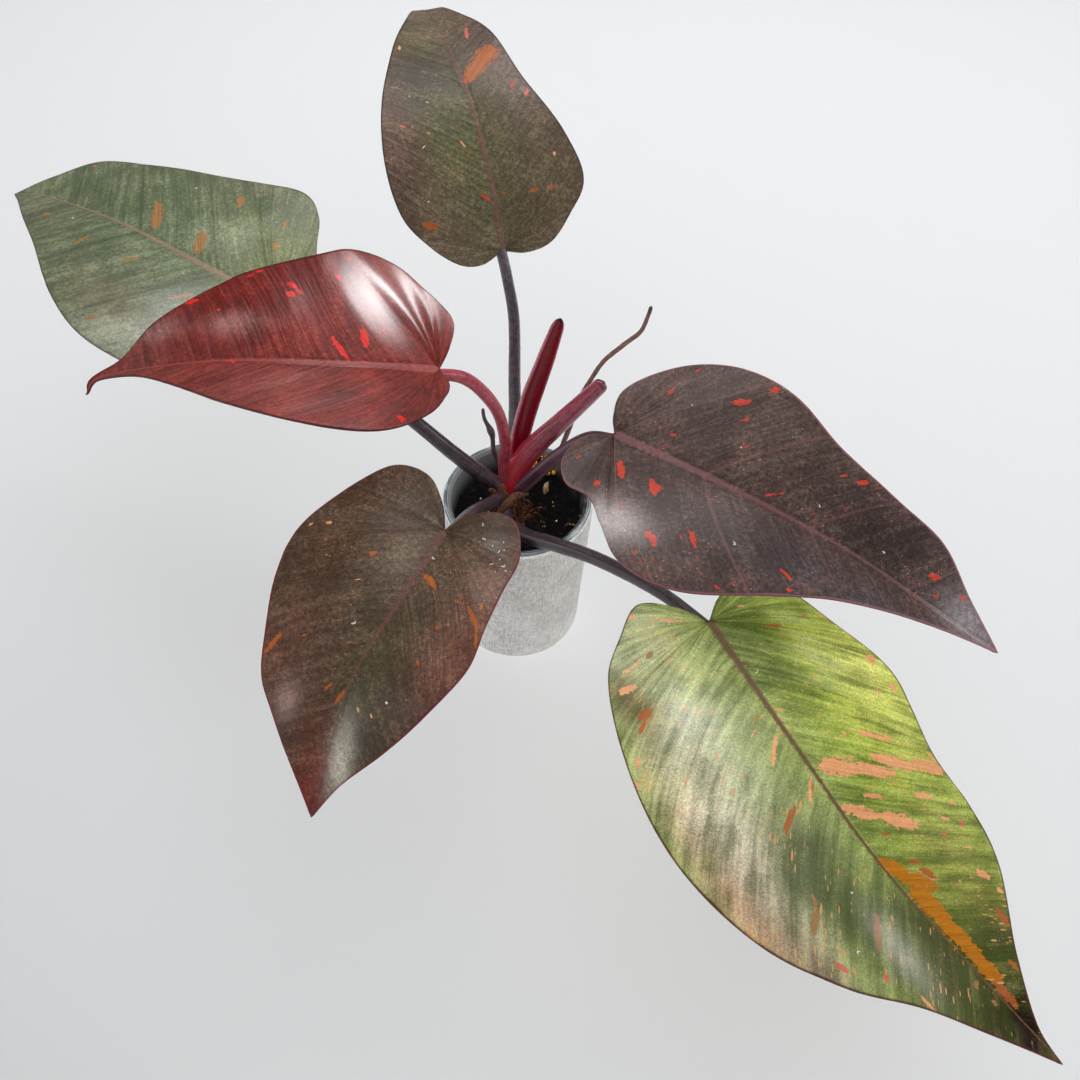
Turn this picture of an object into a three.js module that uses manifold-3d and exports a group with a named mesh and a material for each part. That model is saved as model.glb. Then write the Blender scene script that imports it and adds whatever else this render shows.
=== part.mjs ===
// A young potted orange princess philodendron. Six heart-shaped leaves, an open cataphyll, a rolled
// new leaf and two aerial roots rise from a short stem. The stem stands in soil in a liner pot, and
// the liner pot stands in a pale cachepot. Millimetres, +Z up, origin at the middle of the underside.

import * as THREE from "three";
import { mergeVertices } from "three/addons/utils/BufferGeometryUtils.js";
import Module from "manifold-3d";

const wasm = await Module();
wasm.setup();

// Driving dimensions of the pots and the soil
const GAP = 0.3;
const RIM_RADIUS = 41;
const RIM_HEIGHT = 103.5;
const FOOT_RADIUS = 37;
const FOOT_ROUNDING = 6;
const CACHEPOT_WALL = 3;
const CACHEPOT_FLOOR = 4;
const CACHEPOT_FILLET = 2;
const LIP_RADIUS = 40;
const LIP_TOP = 106;
const LIP_WIDTH = 3.2;
const LIP_DEPTH = 2.1;
const LINER_TOP_RADIUS = 37.3;
const LINER_FOOT_RADIUS = 30.5;
const LINER_WALL = 1.3;
const LINER_FLOOR = 2;
const LINER_CHAMFER = 1;
const SOIL_EDGE_HEIGHT = 89;
const SOIL_CROWN_HEIGHT = 92;
const SOIL_SHOULDER = 0.62;
const SOIL_SHOULDER_HEIGHT = 91;
const POT_SIDES = 44;

// Driving dimensions of the plant
const BLADE_THICKNESS = 0.9;
const RIB_THICKNESS = 3.2;
const VEIN_SLANT = 0.45;
const BEND_REACH = 60;
const STALK_CHANNEL = 0.2;
const STALK_TAPER = 0.7;
const JOINT_REACH = 4;
const JOINT_DROP = 0.4;
const TIP_ROUNDING = 0.55;
const ROOM_SPREAD = 1.01;
const ROOM_CENTRE = 0.33;

// How finely the blades and the swept pieces are faceted
const BLADE_STEPS = 26;
const BLADE_SHARES = [0, 0.07, 0.36, 0.7, 1];
const STALK_SIDES = 10;
const STALK_STEPS = 12;
const GUTTER_STEPS = 8;
const ROUNDING_STEPS = 4;

const UP = new THREE.Vector3(0, 0, 1);
const RADIANS = Math.PI / 180;

// Each leaf: its midrib in space from the petiole's joint to the tip; the flat outline of its left
// and right halves as [along, across] from the joint; its roll about the midrib, and each half's
// upward fold and downward curl, in degrees at the joint and at the tip; the waves of its margin as
// [height, count, phase]; and its petiole's route out of the stem, with its radius at each end.
const LEAVES = {
  top: {
    rib: [[-12, 82, 205], [-19, 101, 234], [-31, 134, 256], [-47, 180, 264], [-61, 224, 257],
      [-62, 246, 238]],
    left: [[0, 0], [-5, 12], [-3, 24], [8, 37], [26, 49], [54, 51], [90, 43], [125, 29], [160, 14],
      [203, 0]],
    right: [[0, 0], [-3, 12], [0, 26], [12, 38], [28, 48], [52, 43], [88, 31], [125, 24], [160, 13],
      [203, 0]],
    roll: [0, -4],
    fold: { left: [8, 4], right: [8, 4] },
    curl: { left: [-12, -14], right: [-12, -14] },
    wave: [1.2, 3, 0.6],
    stalk: [[-4, 12, 98], [-3, 38, 118], [-4, 56, 142], [-5, 68, 171], [-9, 75, 193]],
    radius: [3.6, 2.4],
    colour: 0x4a3a30,
    stalkColour: 0x4a3a44,
  },
  back_left: {
    rib: [[-129, 57, 184], [-170, 78, 192], [-224, 116, 188], [-281, 158, 172], [-308, 175, 160]],
    left: [[0, 0], [-20, 8], [-31, 28], [-22, 50], [8, 68], [56, 71], [99, 59], [142, 37], [183, 19],
      [220, 0]],
    right: [[0, 0], [-9, 8], [-6, 26], [5, 46], [14, 62], [30, 71], [62, 65], [100, 55], [140, 44],
      [178, 37], [198, 17], [220, 0]],
    roll: [-6, -6],
    fold: { left: [8, 4], right: [8, 4] },
    curl: { left: [-12, -12], right: [-12, -12] },
    wave: [1.2, 2.5, 2],
    stalk: [[-6, 10, 97], [-34, 15, 121], [-56, 21, 140], [-94, 34, 168]],
    radius: [5, 3],
    colour: 0x4f5a47,
    stalkColour: 0x4b3a42,
  },
  red: {
    rib: [[-37, -11, 208], [-85, -22, 220], [-139, -17, 214], [-198, -7, 192], [-208, -12, 184]],
    left: [[0, 0], [-3, 10], [0, 20], [12, 34], [35, 46], [60, 41], [90, 30], [120, 16], [150, 5],
      [185, 0]],
    right: [[0, 0], [-6, 12], [-9, 28], [2, 44], [14, 59], [32, 65], [62, 62], [95, 55], [125, 42],
      [150, 27], [163, 8], [185, 0]],
    roll: [-12, -8],
    fold: { left: [22, 12], right: [8, 4] },
    curl: { left: [-6, -4], right: [-10, -6] },
    wave: [0.8, 2.5, 1],
    stalk: [[-7, 11, 98], [-8, 10, 122], [-7, 7, 140], [-10, 3, 165], [-17, -1, 184], [-27, -5, 198]],
    radius: [3.8, 2.5],
    colour: 0x6a1520,
    stalkColour: 0x7c1f35,
  },
  right: {
    rib: [[47, -17, 176], [98, -53, 182], [151, -77, 170], [194, -94, 150], [230, -105, 130]],
    left: [[0, 0], [-6, 8], [-10, 22], [-2, 38], [14, 53], [38, 60], [73, 57], [104, 43], [134, 34],
      [165, 29], [190, 14], [215, 0]],
    right: [[0, 0], [-11, 9], [-12, 26], [-2, 38], [14, 40], [28, 50], [46, 63], [68, 63], [97, 47],
      [135, 27], [170, 12], [215, 0]],
    roll: [10, 8],
    fold: { left: [10, 20], right: [10, 20] },
    curl: { left: [-12, -12], right: [-12, -12] },
    wave: [0.9, 2.5, 3],
    stalk: [[-2, 9, 97], [10, 2, 123], [22, -3, 145], [36, -9, 164]],
    radius: [5, 2.9],
    colour: 0x43302f,
    stalkColour: 0x4a2a36,
  },
  front_left: {
    rib: [[-31, -72, 165], [-50, -112, 160], [-69, -146, 143], [-85, -186, 97]],
    left: [[0, 0], [-9, 5], [-15, 19], [-12, 33], [4, 43], [23, 44], [40, 46], [58, 49], [83, 40],
      [106, 27], [130, 10], [150, 0]],
    right: [[0, 0], [-12, 8], [-23, 22], [-22, 39], [-8, 50], [18, 60], [39, 62], [65, 58], [91, 43],
      [117, 25], [150, 0]],
    roll: [0, 0],
    fold: { left: [22, 12], right: [6, 2] },
    curl: { left: [-15, -15], right: [-12, -12] },
    wave: [1, 2.5, 0],
    stalk: [[-6, 8, 98], [-15, -11, 112], [-23, -40, 138]],
    radius: [3.9, 2.7],
    colour: 0x4a3a30,
    stalkColour: 0x49343d,
  },
  front_right: {
    rib: [[93, -100, 140], [129, -170, 142], [167, -215, 120], [240, -273, 75]],
    left: [[0, 0], [-9, 10], [-14, 24], [-2, 42], [26, 53], [60, 61], [100, 57], [145, 54], [175, 45],
      [203, 20], [226, 4], [245, 0]],
    right: [[0, 0], [-13, 11], [-21, 27], [-8, 43], [10, 58], [45, 69], [85, 74], [120, 66], [152, 49],
      [180, 30], [212, 15], [245, 0]],
    roll: [4, 4],
    fold: { left: [6, 4], right: [12, 8] },
    curl: { left: [-22, -22], right: [-10, -10] },
    wave: [1.4, 3, 1.5],
    stalk: [[-6, 3, 97], [-6, -12, 99], [6, -27, 106], [21, -39, 115], [43, -54, 123], [71, -80, 134]],
    radius: [4.3, 2.6],
    colour: 0x5d7a33,
    stalkColour: 0x56404a,
  },
};

// The other grown pieces: the route from foot to tip, the way that the upper side of the section
// faces, the radius at the foot and the tip, and how finely each is faceted. A gutter has a wall and
// a half angle at each end instead of a full round section, and a knot is a swelling as
// [share of the way, height, width].
const SHOOTS = {
  stem: {
    route: [[1, 6, 55], [0, 6, 75], [-3, 9, 95], [-4, 9, 106]],
    face: [0, -1, 0],
    radius: [8, 6.5],
    steps: 8,
    sides: 12,
    colour: 0x6d2a3a,
    roughness: 0.6,
  },
  leaf_spike: {
    route: [[-4, 9, 98], [-2, 13, 110], [6, 16, 126], [21, 18, 146], [33, 23, 158], [43, 27, 168]],
    face: [0, -1, 0.6],
    radius: [6, 3.6],
    steps: 14,
    sides: 12,
    colour: 0xa8294c,
    roughness: 0.35,
  },
  open_cataphyll: {
    route: [[-2, 17, 98], [0, 18, 130], [5, 23, 155], [12, 29, 178], [19, 36, 201]],
    face: [0.3, -1, 0],
    radius: [4.6, 3.2],
    steps: 14,
    sides: 12,
    gutter: { wall: 1.1, halfAngle: [120, 95] },
    colour: 0x8a1a38,
    roughness: 0.35,
  },
  aerial_root_long: {
    route: [[4, 12, 98], [14, 16, 110], [21, 16, 124], [26, 21, 138], [30, 27, 152], [35, 31, 162],
      [42, 37, 172], [53, 43, 180], [60, 47, 184], [63, 50, 190], [65, 53, 197]],
    face: [0, -1, 0],
    radius: [1.5, 1.2],
    steps: 28,
    sides: 7,
    colour: 0x6b4638,
    roughness: 0.8,
  },
  aerial_root_short: {
    route: [[-7, 14, 98], [-10, 19, 106], [-12, 20, 113], [-14, 20, 120], [-15, 23, 130],
      [-19, 26, 138], [-20, 28, 144]],
    face: [0, -1, 0],
    radius: [1.2, 1.2],
    knot: [0.8, 0.9, 0.07],
    steps: 18,
    sides: 7,
    colour: 0x5a4038,
    roughness: 0.8,
  },
  dried_sheath: {
    route: [[-9, -1.5, 92.5], [-10.5, 0, 99], [-12.5, 1.5, 106], [-15, 1, 111]],
    face: [0, 1, 0],
    radius: [3.4, 1.6],
    steps: 6,
    sides: 10,
    gutter: { wall: 0.7, halfAngle: [80, 80] },
    colour: 0x8a6a4a,
    roughness: 0.85,
  },
};

function mix(ends, share) {
  return THREE.MathUtils.lerp(ends[0], ends[1], share);
}

function curveThrough(points) {
  return new THREE.CatmullRomCurve3(points.map(([x, y, z = 0]) => new THREE.Vector3(x, y, z)), false,
    "catmullrom");
}

// A closed solid from a list of corners and a list of triangles that face out.
function solidOf(corners, triangles) {
  const loose = new THREE.BufferGeometry();
  loose.setAttribute("position", new THREE.Float32BufferAttribute(corners.flatMap((p) => p.toArray()), 3));
  loose.setIndex(triangles.flat());
  return solidFrom(loose);
}

function solidFrom(geometry) {
  geometry.deleteAttribute("normal");
  geometry.deleteAttribute("uv");
  const merged = mergeVertices(geometry, 1e-4);
  const index = Array.from(merged.index.array);
  const kept = [];
  for (let i = 0; i < index.length; i += 3) {
    const [a, b, c] = index.slice(i, i + 3);
    if (a !== b && b !== c && c !== a) kept.push(a, b, c);
  }
  return new wasm.Manifold(new wasm.Mesh({
    numProp: 3,
    vertProperties: new Float32Array(merged.attributes.position.array),
    triVerts: new Uint32Array(kept),
  }));
}

// A solid less each of its neighbours, without any scrap that the cut leaves.
function carve(solid, neighbours) {
  const cut = neighbours.reduce((rest, neighbour) => rest.subtract(neighbour), solid);
  return cut.decompose().sort((a, b) => b.volume() - a.volume())[0];
}

// A solid of revolution about +Z, from a closed outline of [radius, height] corners.
function turned(outline) {
  const lathe = new THREE.LatheGeometry(outline.map(([r, z]) => new THREE.Vector2(r, z)), POT_SIDES);
  return solidFrom(lathe.rotateX(Math.PI / 2));
}

function arc(centre, radius, from, to, steps) {
  return Array.from({ length: steps + 1 }, (_, i) => {
    const angle = THREE.MathUtils.lerp(from, to, i / steps) * RADIANS;
    return [centre[0] + radius * Math.cos(angle), centre[1] + radius * Math.sin(angle)];
  });
}

// A section swept along a route and closed at both ends. The section gives [across, out] corners,
// anticlockwise, for a share of the way; out starts along face and is carried along the route.
function sweep(route, face, section, steps) {
  const curve = curveThrough(route);
  const out = new THREE.Vector3(...face);
  const corners = [];
  let sides = 0;
  for (let i = 0; i <= steps; i++) {
    const centre = curve.getPointAt(i / steps);
    const along = curve.getTangentAt(i / steps);
    out.addScaledVector(along, -out.dot(along)).normalize();
    const across = out.clone().cross(along);
    const ring = section(i / steps);
    sides = ring.length;
    for (const [a, o] of ring) {
      corners.push(centre.clone().addScaledVector(across, a).addScaledVector(out, o));
    }
  }
  const triangles = [];
  for (let i = 0; i < steps; i++) {
    for (let k = 0; k < sides; k++) {
      const here = i * sides + k;
      const beside = i * sides + ((k + 1) % sides);
      triangles.push([here, beside, beside + sides], [here, beside + sides, here + sides]);
    }
  }
  const last = steps * sides;
  for (const [a, b, c] of lid(section(0))) triangles.push([c, b, a]);
  for (const [a, b, c] of lid(section(1))) triangles.push([last + a, last + b, last + c]);
  return solidOf(corners, triangles);
}

function lid(ring) {
  return THREE.ShapeUtils.triangulateShape(ring.map(([a, o]) => new THREE.Vector2(a, o)), []);
}

// A round section whose upper side is pressed in by a share of the radius.
function channelled(radius, pressed, sides) {
  return Array.from({ length: sides }, (_, k) => {
    const angle = (k / sides) * 2 * Math.PI;
    const top = Math.max(0, Math.sin(angle));
    return [radius * Math.cos(angle), radius * Math.sin(angle) * (1 - pressed * top * top)];
  });
}

// A section like an open gutter, out to the given half angle on each side.
function gutter(radius, wall, halfAngle, steps) {
  const outer = arc([0, 0], radius, 270 - halfAngle, 270 + halfAngle, steps);
  const inner = arc([0, 0], radius - wall, 270 + halfAngle, 270 - halfAngle, steps);
  return [...outer, ...inner];
}

// A point of a blade: x along and y across on one side, at a depth below the upper face.
function bladePoint(leaf, x, y, side, depth) {
  const share = THREE.MathUtils.clamp(x / leaf.length, 0, 1);
  const along = leaf.curve.getTangentAt(share);
  const centre = leaf.curve.getPointAt(share).addScaledVector(along, x - share * leaf.length);
  const level = UP.clone().cross(along).normalize();
  const lift = along.clone().cross(level);
  const roll = mix(leaf.roll, share) * RADIANS;
  const left = level.multiplyScalar(Math.cos(roll)).addScaledVector(lift, Math.sin(roll));
  const normal = along.clone().cross(left);
  const half = side > 0 ? "left" : "right";
  const fold = mix(leaf.fold[half], share) * RADIANS;
  const bend = (mix(leaf.curl[half], share) * RADIANS) / BEND_REACH;
  const angle = fold + bend * y;
  const across = (Math.sin(angle) - Math.sin(fold)) / bend;
  const rise = (Math.cos(fold) - Math.cos(angle)) / bend;
  const tilt = y > 0 ? angle : 0;
  return centre
    .addScaledVector(left, side * (across + depth * Math.sin(tilt)))
    .addScaledVector(normal, rise - depth * Math.cos(tilt));
}

// A blade as a closed solid. Its rows follow the side veins from the midrib out to the margin. A
// spread of 1 and no growth give the blade itself; more of each gives the space round it.
function blade(leaf, spread, growth) {
  const sides = [1, -1];
  const margins = [leaf.left, leaf.right].map(curveThrough);
  const corners = [];
  const triangles = [];
  const [height, count, phase] = leaf.wave;
  const columns = BLADE_SHARES.length;
  sides.forEach((side, half) => {
    for (let i = 0; i <= BLADE_STEPS; i++) {
      const ends = margins.map((margin) => margin.getPointAt(i / BLADE_STEPS));
      const vein = ends.map((end) => end.x - VEIN_SLANT * end.y);
      const foot = Math.max(0, (vein[0] + vein[1]) / 2);
      const way = i / BLADE_STEPS;
      const crest = height * Math.sin(Math.PI * way) * Math.sin(2 * Math.PI * count * way + phase + half);
      for (const share of BLADE_SHARES) {
        const x = THREE.MathUtils.lerp(foot, ends[half].x, share);
        const y = ends[half].y * share;
        const wide = [THREE.MathUtils.lerp(leaf.length * ROOM_CENTRE, x, spread), y * spread];
        const wave = crest * share * share;
        const rib = THREE.MathUtils.lerp(RIB_THICKNESS, BLADE_THICKNESS, Math.sqrt(foot / leaf.length));
        const thickness = share === 0 ? rib : BLADE_THICKNESS;
        corners.push(bladePoint(leaf, ...wide, side, -wave - growth));
        corners.push(bladePoint(leaf, ...wide, side, thickness - wave + growth));
      }
    }
    const row = 2 * columns;
    const base = half * (BLADE_STEPS + 1) * row;
    const face = (a, b, c) => triangles.push(side > 0 ? [a, b, c] : [a, c, b]);
    for (let i = 0; i < BLADE_STEPS; i++) {
      for (let j = 0; j < columns - 1; j++) {
        const here = base + i * row + 2 * j;
        face(here, here + row, here + row + 2);
        face(here, here + row + 2, here + 2);
        face(here + 1, here + row + 3, here + row + 1);
        face(here + 1, here + 3, here + row + 3);
      }
      const edge = base + i * row + 2 * (columns - 1);
      face(edge, edge + row, edge + row + 1);
      face(edge, edge + row + 1, edge + 1);
    }
  });
  return solidOf(corners, triangles);
}

// A petiole, from inside the stem to just under the blade's joint. Its channel faces in and up.
function petiole(leaf, growth) {
  const [foot, tip] = leaf.radius;
  const joint = bladePoint(leaf, JOINT_REACH, 0, 1, tip + JOINT_DROP);
  const inward = new THREE.Vector3(...leaf.stalk[0]).sub(joint).setZ(0).normalize();
  const radius = (share) => THREE.MathUtils.lerp(foot, tip, share ** STALK_TAPER) + growth;
  const section = (share) => channelled(radius(share), STALK_CHANNEL, STALK_SIDES);
  return sweep([...leaf.stalk, joint.toArray()], inward.add(UP).toArray(), section, STALK_STEPS);
}

const pieces = new THREE.Group();

function addPiece(name, solid, colour, roughness) {
  const { vertProperties, triVerts } = solid.getMesh();
  const geometry = new THREE.BufferGeometry();
  geometry.setAttribute("position", new THREE.BufferAttribute(vertProperties, 3));
  geometry.setIndex(new THREE.BufferAttribute(triVerts, 1));
  geometry.computeVertexNormals();
  const material = new THREE.MeshStandardMaterial({ color: colour, roughness, metalness: 0 });
  const mesh = new THREE.Mesh(geometry, material);
  mesh.name = name;
  pieces.add(mesh);
}

// The cachepot: a thick tapered cup with a rounded foot and a rounded rim.
function cachepot() {
  const inner = RIM_RADIUS - CACHEPOT_WALL;
  const floorRadius = FOOT_RADIUS - CACHEPOT_WALL;
  const half = CACHEPOT_WALL / 2;
  return turned([
    [0, 0],
    ...arc([FOOT_RADIUS - FOOT_ROUNDING, FOOT_ROUNDING], FOOT_ROUNDING, -90, 0, ROUNDING_STEPS),
    ...arc([RIM_RADIUS - half, RIM_HEIGHT - half], half, 0, 180, ROUNDING_STEPS),
    [inner, RIM_HEIGHT - CACHEPOT_WALL],
    [floorRadius, CACHEPOT_FLOOR + CACHEPOT_FILLET],
    [floorRadius - CACHEPOT_FILLET, CACHEPOT_FLOOR],
    [0, CACHEPOT_FLOOR],
  ]);
}

// The liner pot: a thin tapered cup whose lip turns out over the cachepot's rim.
function linerRadius(height) {
  const foot = CACHEPOT_FLOOR + GAP;
  return THREE.MathUtils.mapLinear(height, foot, LIP_TOP - LIP_DEPTH, LINER_FOOT_RADIUS, LINER_TOP_RADIUS);
}

function linerPot() {
  const foot = CACHEPOT_FLOOR + GAP;
  const under = LIP_TOP - LIP_DEPTH;
  const top = LIP_DEPTH / 2;
  return turned([
    [0, foot],
    [LINER_FOOT_RADIUS - LINER_CHAMFER, foot],
    [LINER_FOOT_RADIUS, foot + LINER_CHAMFER],
    [LINER_TOP_RADIUS, under],
    ...arc([LIP_RADIUS - top, LIP_TOP - top], top, -90, 90, ROUNDING_STEPS),
    [LIP_RADIUS - LIP_WIDTH, LIP_TOP],
    [linerRadius(under - LINER_CHAMFER) - LINER_WALL, under - LINER_CHAMFER],
    [LINER_FOOT_RADIUS - LINER_WALL, foot + LINER_FLOOR],
    [0, foot + LINER_FLOOR],
  ]);
}

// The soil fills the liner pot and is a little higher in the middle.
function soil() {
  const foot = CACHEPOT_FLOOR + GAP + LINER_FLOOR + GAP;
  const inside = (height) => linerRadius(height) - LINER_WALL - GAP;
  return turned([
    [0, foot],
    [inside(foot) - GAP, foot],
    [inside(SOIL_EDGE_HEIGHT), SOIL_EDGE_HEIGHT],
    [inside(SOIL_EDGE_HEIGHT) * SOIL_SHOULDER, SOIL_SHOULDER_HEIGHT],
    [0, SOIL_CROWN_HEIGHT],
  ]);
}

// The radius of a shoot at a share of its way. The last ring is drawn in, which rounds the tip.
function shootRadius(shoot, share) {
  const [place, height, width] = shoot.knot ?? [0, 0, 1];
  const knot = height * Math.exp(-(((share - place) / width) ** 2));
  return (mix(shoot.radius, share) + knot) * (share === 1 ? TIP_ROUNDING : 1);
}

// The space round a shoot, as if its section were full, at a distance of growth from it.
function shootSpace(shoot, growth) {
  const section = (share) => channelled(shootRadius(shoot, share) + growth, 0, shoot.sides);
  return sweep(shoot.route, shoot.face, section, shoot.steps);
}

function shootSolid(shoot) {
  if (!shoot.gutter) return shootSpace(shoot, 0);
  const { wall, halfAngle } = shoot.gutter;
  const section = (share) => gutter(shootRadius(shoot, share), wall, mix(halfAngle, share), GUTTER_STEPS);
  return sweep(shoot.route, shoot.face, section, shoot.steps);
}

for (const leaf of Object.values(LEAVES)) {
  leaf.curve = curveThrough(leaf.rib);
  leaf.length = leaf.curve.getLength();
}

addPiece("cachepot", cachepot(), 0xd9d9d6, 0.75);
addPiece("liner_pot", linerPot(), 0x8d949b, 0.3);
addPiece("soil", carve(soil(), [shootSpace(SHOOTS.stem, GAP)]), 0x1f1a17, 0.95);

// Each piece of the crown gives way to the ones that were placed before it.
const spaces = [];

function addShoot(name) {
  const shoot = SHOOTS[name];
  addPiece(name, carve(shootSolid(shoot), spaces), shoot.colour, shoot.roughness);
  spaces.push(shootSpace(shoot, GAP));
}

addShoot("stem");
addShoot("leaf_spike");
addShoot("open_cataphyll");
for (const [name, leaf] of Object.entries(LEAVES)) {
  const room = blade(leaf, ROOM_SPREAD, GAP);
  addPiece(`petiole_${name}`, carve(petiole(leaf, 0), [...spaces, room]), leaf.stalkColour, 0.45);
  addPiece(`blade_${name}`, blade(leaf, 1, 0), leaf.colour, 0.4);
  spaces.push(petiole(leaf, GAP));
}
addShoot("aerial_root_long");
addShoot("aerial_root_short");
addShoot("dried_sheath");

export default pieces;
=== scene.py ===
import math

import bmesh
import bpy
import numpy as np
from mathutils import Matrix, Vector


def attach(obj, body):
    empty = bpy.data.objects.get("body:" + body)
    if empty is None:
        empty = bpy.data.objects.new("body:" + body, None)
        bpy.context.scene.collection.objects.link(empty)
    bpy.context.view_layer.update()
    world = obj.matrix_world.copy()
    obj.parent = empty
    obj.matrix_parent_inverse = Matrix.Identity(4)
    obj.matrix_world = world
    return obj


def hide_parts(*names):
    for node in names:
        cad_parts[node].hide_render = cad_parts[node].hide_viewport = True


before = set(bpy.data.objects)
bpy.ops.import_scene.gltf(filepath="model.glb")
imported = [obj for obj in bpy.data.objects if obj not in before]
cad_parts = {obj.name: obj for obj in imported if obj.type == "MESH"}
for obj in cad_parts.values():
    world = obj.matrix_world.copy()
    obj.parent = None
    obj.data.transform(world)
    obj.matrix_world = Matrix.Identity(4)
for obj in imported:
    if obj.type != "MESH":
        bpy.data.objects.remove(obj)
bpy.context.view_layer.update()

scene = bpy.context.scene
MM = 0.001

# The photographer's eye, above the plant and in front of it, looking steeply down. A camera is no
# piece of the plant; its frame is taken as 1080 by 1080 pixels.

FRAME_PIXELS = 1080
FOCAL_PIXELS = 1170
EYE = Vector((13, -408, 589)) * MM
LOOK_DOWN = math.radians(51.9)
CAMERA_ROLL = math.radians(2.2)

lens = bpy.data.cameras.new("camera")
lens.sensor_width = 36.0
lens.lens = lens.sensor_width * FOCAL_PIXELS / FRAME_PIXELS
lens.clip_start = 0.01
camera = bpy.data.objects.new("camera", lens)
camera.matrix_world = (Matrix.Translation(EYE) @ Matrix.Rotation(math.pi / 2 - LOOK_DOWN, 4, "X")
                       @ Matrix.Rotation(CAMERA_ROLL, 4, "Z"))
scene.collection.objects.link(camera)
scene.camera = camera
scene.view_settings.view_transform = "Standard"


# Cachepot: the outer pot, a cast round cup with a pale limewash brushed up and down over grey.
# Its rim was left a little uneven and has small chips.

RIM_RADIUS = 41
RIM_HEIGHT = 103.5
FOOT_RADIUS = 37
FOOT_ROUNDING = 6
CACHEPOT_WALL = 3
CACHEPOT_FLOOR = 4
CACHEPOT_FILLET = 2
POT_SIDES = 160
WALL_STEPS = 12
WEAR_REACH = 6
CHIP_DEPTH = 0.5
# Each chip's place round the rim and its width, in radians.
CHIPS = ((-1.75, 0.05), (-1.30, 0.035), (-0.62, 0.06), (0.4, 0.05), (2.3, 0.07), (-2.5, 0.04))


def pigment(code):
    """A colour given as 0xrrggbb, as the linear numbers that a shader takes."""
    parts = [((code >> shift) & 255) / 255 for shift in (16, 8, 0)]
    return tuple(p / 12.92 if p <= 0.04045 else ((p + 0.055) / 1.055) ** 2.4 for p in parts) + (1.0,)


class Paint:
    """A socket among a material's nodes. Python's sums on it add Math nodes."""

    def __init__(self, tree, socket=None):
        self.tree = tree
        self.socket = socket

    def node(self, kind, settings=None, values=None, out=0):
        """Adds a node: its settings first, then the values or links of its sockets."""
        made = self.tree.nodes.new(kind)
        for name, value in (settings or {}).items():
            if name == "stops":
                ramp = made.color_ramp.elements
                while len(ramp) < len(value):
                    ramp.new(1.0)
                for stop, (place, colour) in zip(ramp, value):
                    stop.position = place
                    stop.color = colour
            else:
                setattr(made, name, value)
        self.feed(made, values or {})
        return Paint(self.tree, made.outputs[out])

    def feed(self, made, values):
        """Sets a node's sockets to values, or links other sockets to them."""
        for name, value in values.items():
            if isinstance(value, Paint):
                self.tree.links.new(value.socket, made.inputs[name])
            else:
                made.inputs[name].default_value = value

    def math(self, operation, first, second=0.0):
        return self.node("ShaderNodeMath", {"operation": operation}, {0: first, 1: second})

    def __add__(self, other):
        return self.math("ADD", self, other)

    def __sub__(self, other):
        return self.math("SUBTRACT", self, other)

    def __mul__(self, other):
        return self.math("MULTIPLY", self, other)

    def __truediv__(self, other):
        return self.math("DIVIDE", self, other)

    def __pow__(self, other):
        return self.math("POWER", self, other)

    def __rsub__(self, other):
        return self.math("SUBTRACT", other, self)

    def __rtruediv__(self, other):
        return self.math("DIVIDE", other, self)

    __radd__ = __add__
    __rmul__ = __mul__

    def most(self, other):
        return self.math("MAXIMUM", self, other)

    def size(self):
        return self.math("ABSOLUTE", self)

    def step(self, low, high):
        """0 below low, 1 above high and a smooth rise between them."""
        return self.node("ShaderNodeMapRange", {"interpolation_type": "SMOOTHSTEP"},
                         {0: self, 1: low, 2: high, 3: 0.0, 4: 1.0})

    def scaled(self, factor):
        """This colour, lighter or darker by a factor."""
        return self.node("ShaderNodeVectorMath", {"operation": "SCALE"}, {0: self, "Scale": factor})

    def blend(self, under, over):
        """Colour over on colour under, by this factor. A colour may be given as 0xrrggbb."""
        under, over = (pigment(colour) if isinstance(colour, int) else colour for colour in (under, over))
        return self.node("ShaderNodeMix", {"data_type": "RGBA"}, {0: self, 6: under, 7: over}, 2)

    def noise(self, place, scale, detail=3.0, rough=0.55):
        return self.node("ShaderNodeTexNoise", None,
                         {"Vector": place, "Scale": scale, "Detail": detail, "Roughness": rough})

    def spots(self, place, scale):
        return self.node("ShaderNodeTexVoronoi", None, {"Vector": place, "Scale": scale})

    def stretched(self, place, scale):
        return self.node("ShaderNodeMapping", None, {"Vector": place, "Scale": scale})

    def unrolled(self, across, along):
        """A place on the tissue's own flat sheet, for grain that runs along it."""
        return self.node("ShaderNodeCombineXYZ", None, {0: across, 1: along})

    def reach_along(self, place, direction):
        """How far a place lies along a direction."""
        return self.node("ShaderNodeVectorMath", {"operation": "DOT_PRODUCT"}, {0: place, 1: direction}, 1)

    def held(self, name, out=2):
        """A named attribute of the mesh: out 0 is a colour, 1 a vector and 2 a number."""
        return self.node("ShaderNodeAttribute", {"attribute_name": name}, None, out)

    def place(self):
        return self.node("ShaderNodeTexCoord", None, None, 3)

    def place_in_world(self):
        return self.node("ShaderNodeTexCoord", None, None, 0)


def finish(name, paint_surface):
    """A material whose shader gets its values from paint_surface(paint)."""
    material = bpy.data.materials.new(name)
    material.use_nodes = True
    paint = Paint(material.node_tree)
    paint.feed(next(n for n in paint.tree.nodes if n.type == "BSDF_PRINCIPLED"), paint_surface(paint))
    return material


def bump(paint, height, depth, strength=1.0):
    return paint.node("ShaderNodeBump", None, {"Height": height, "Distance": depth, "Strength": strength})


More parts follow.
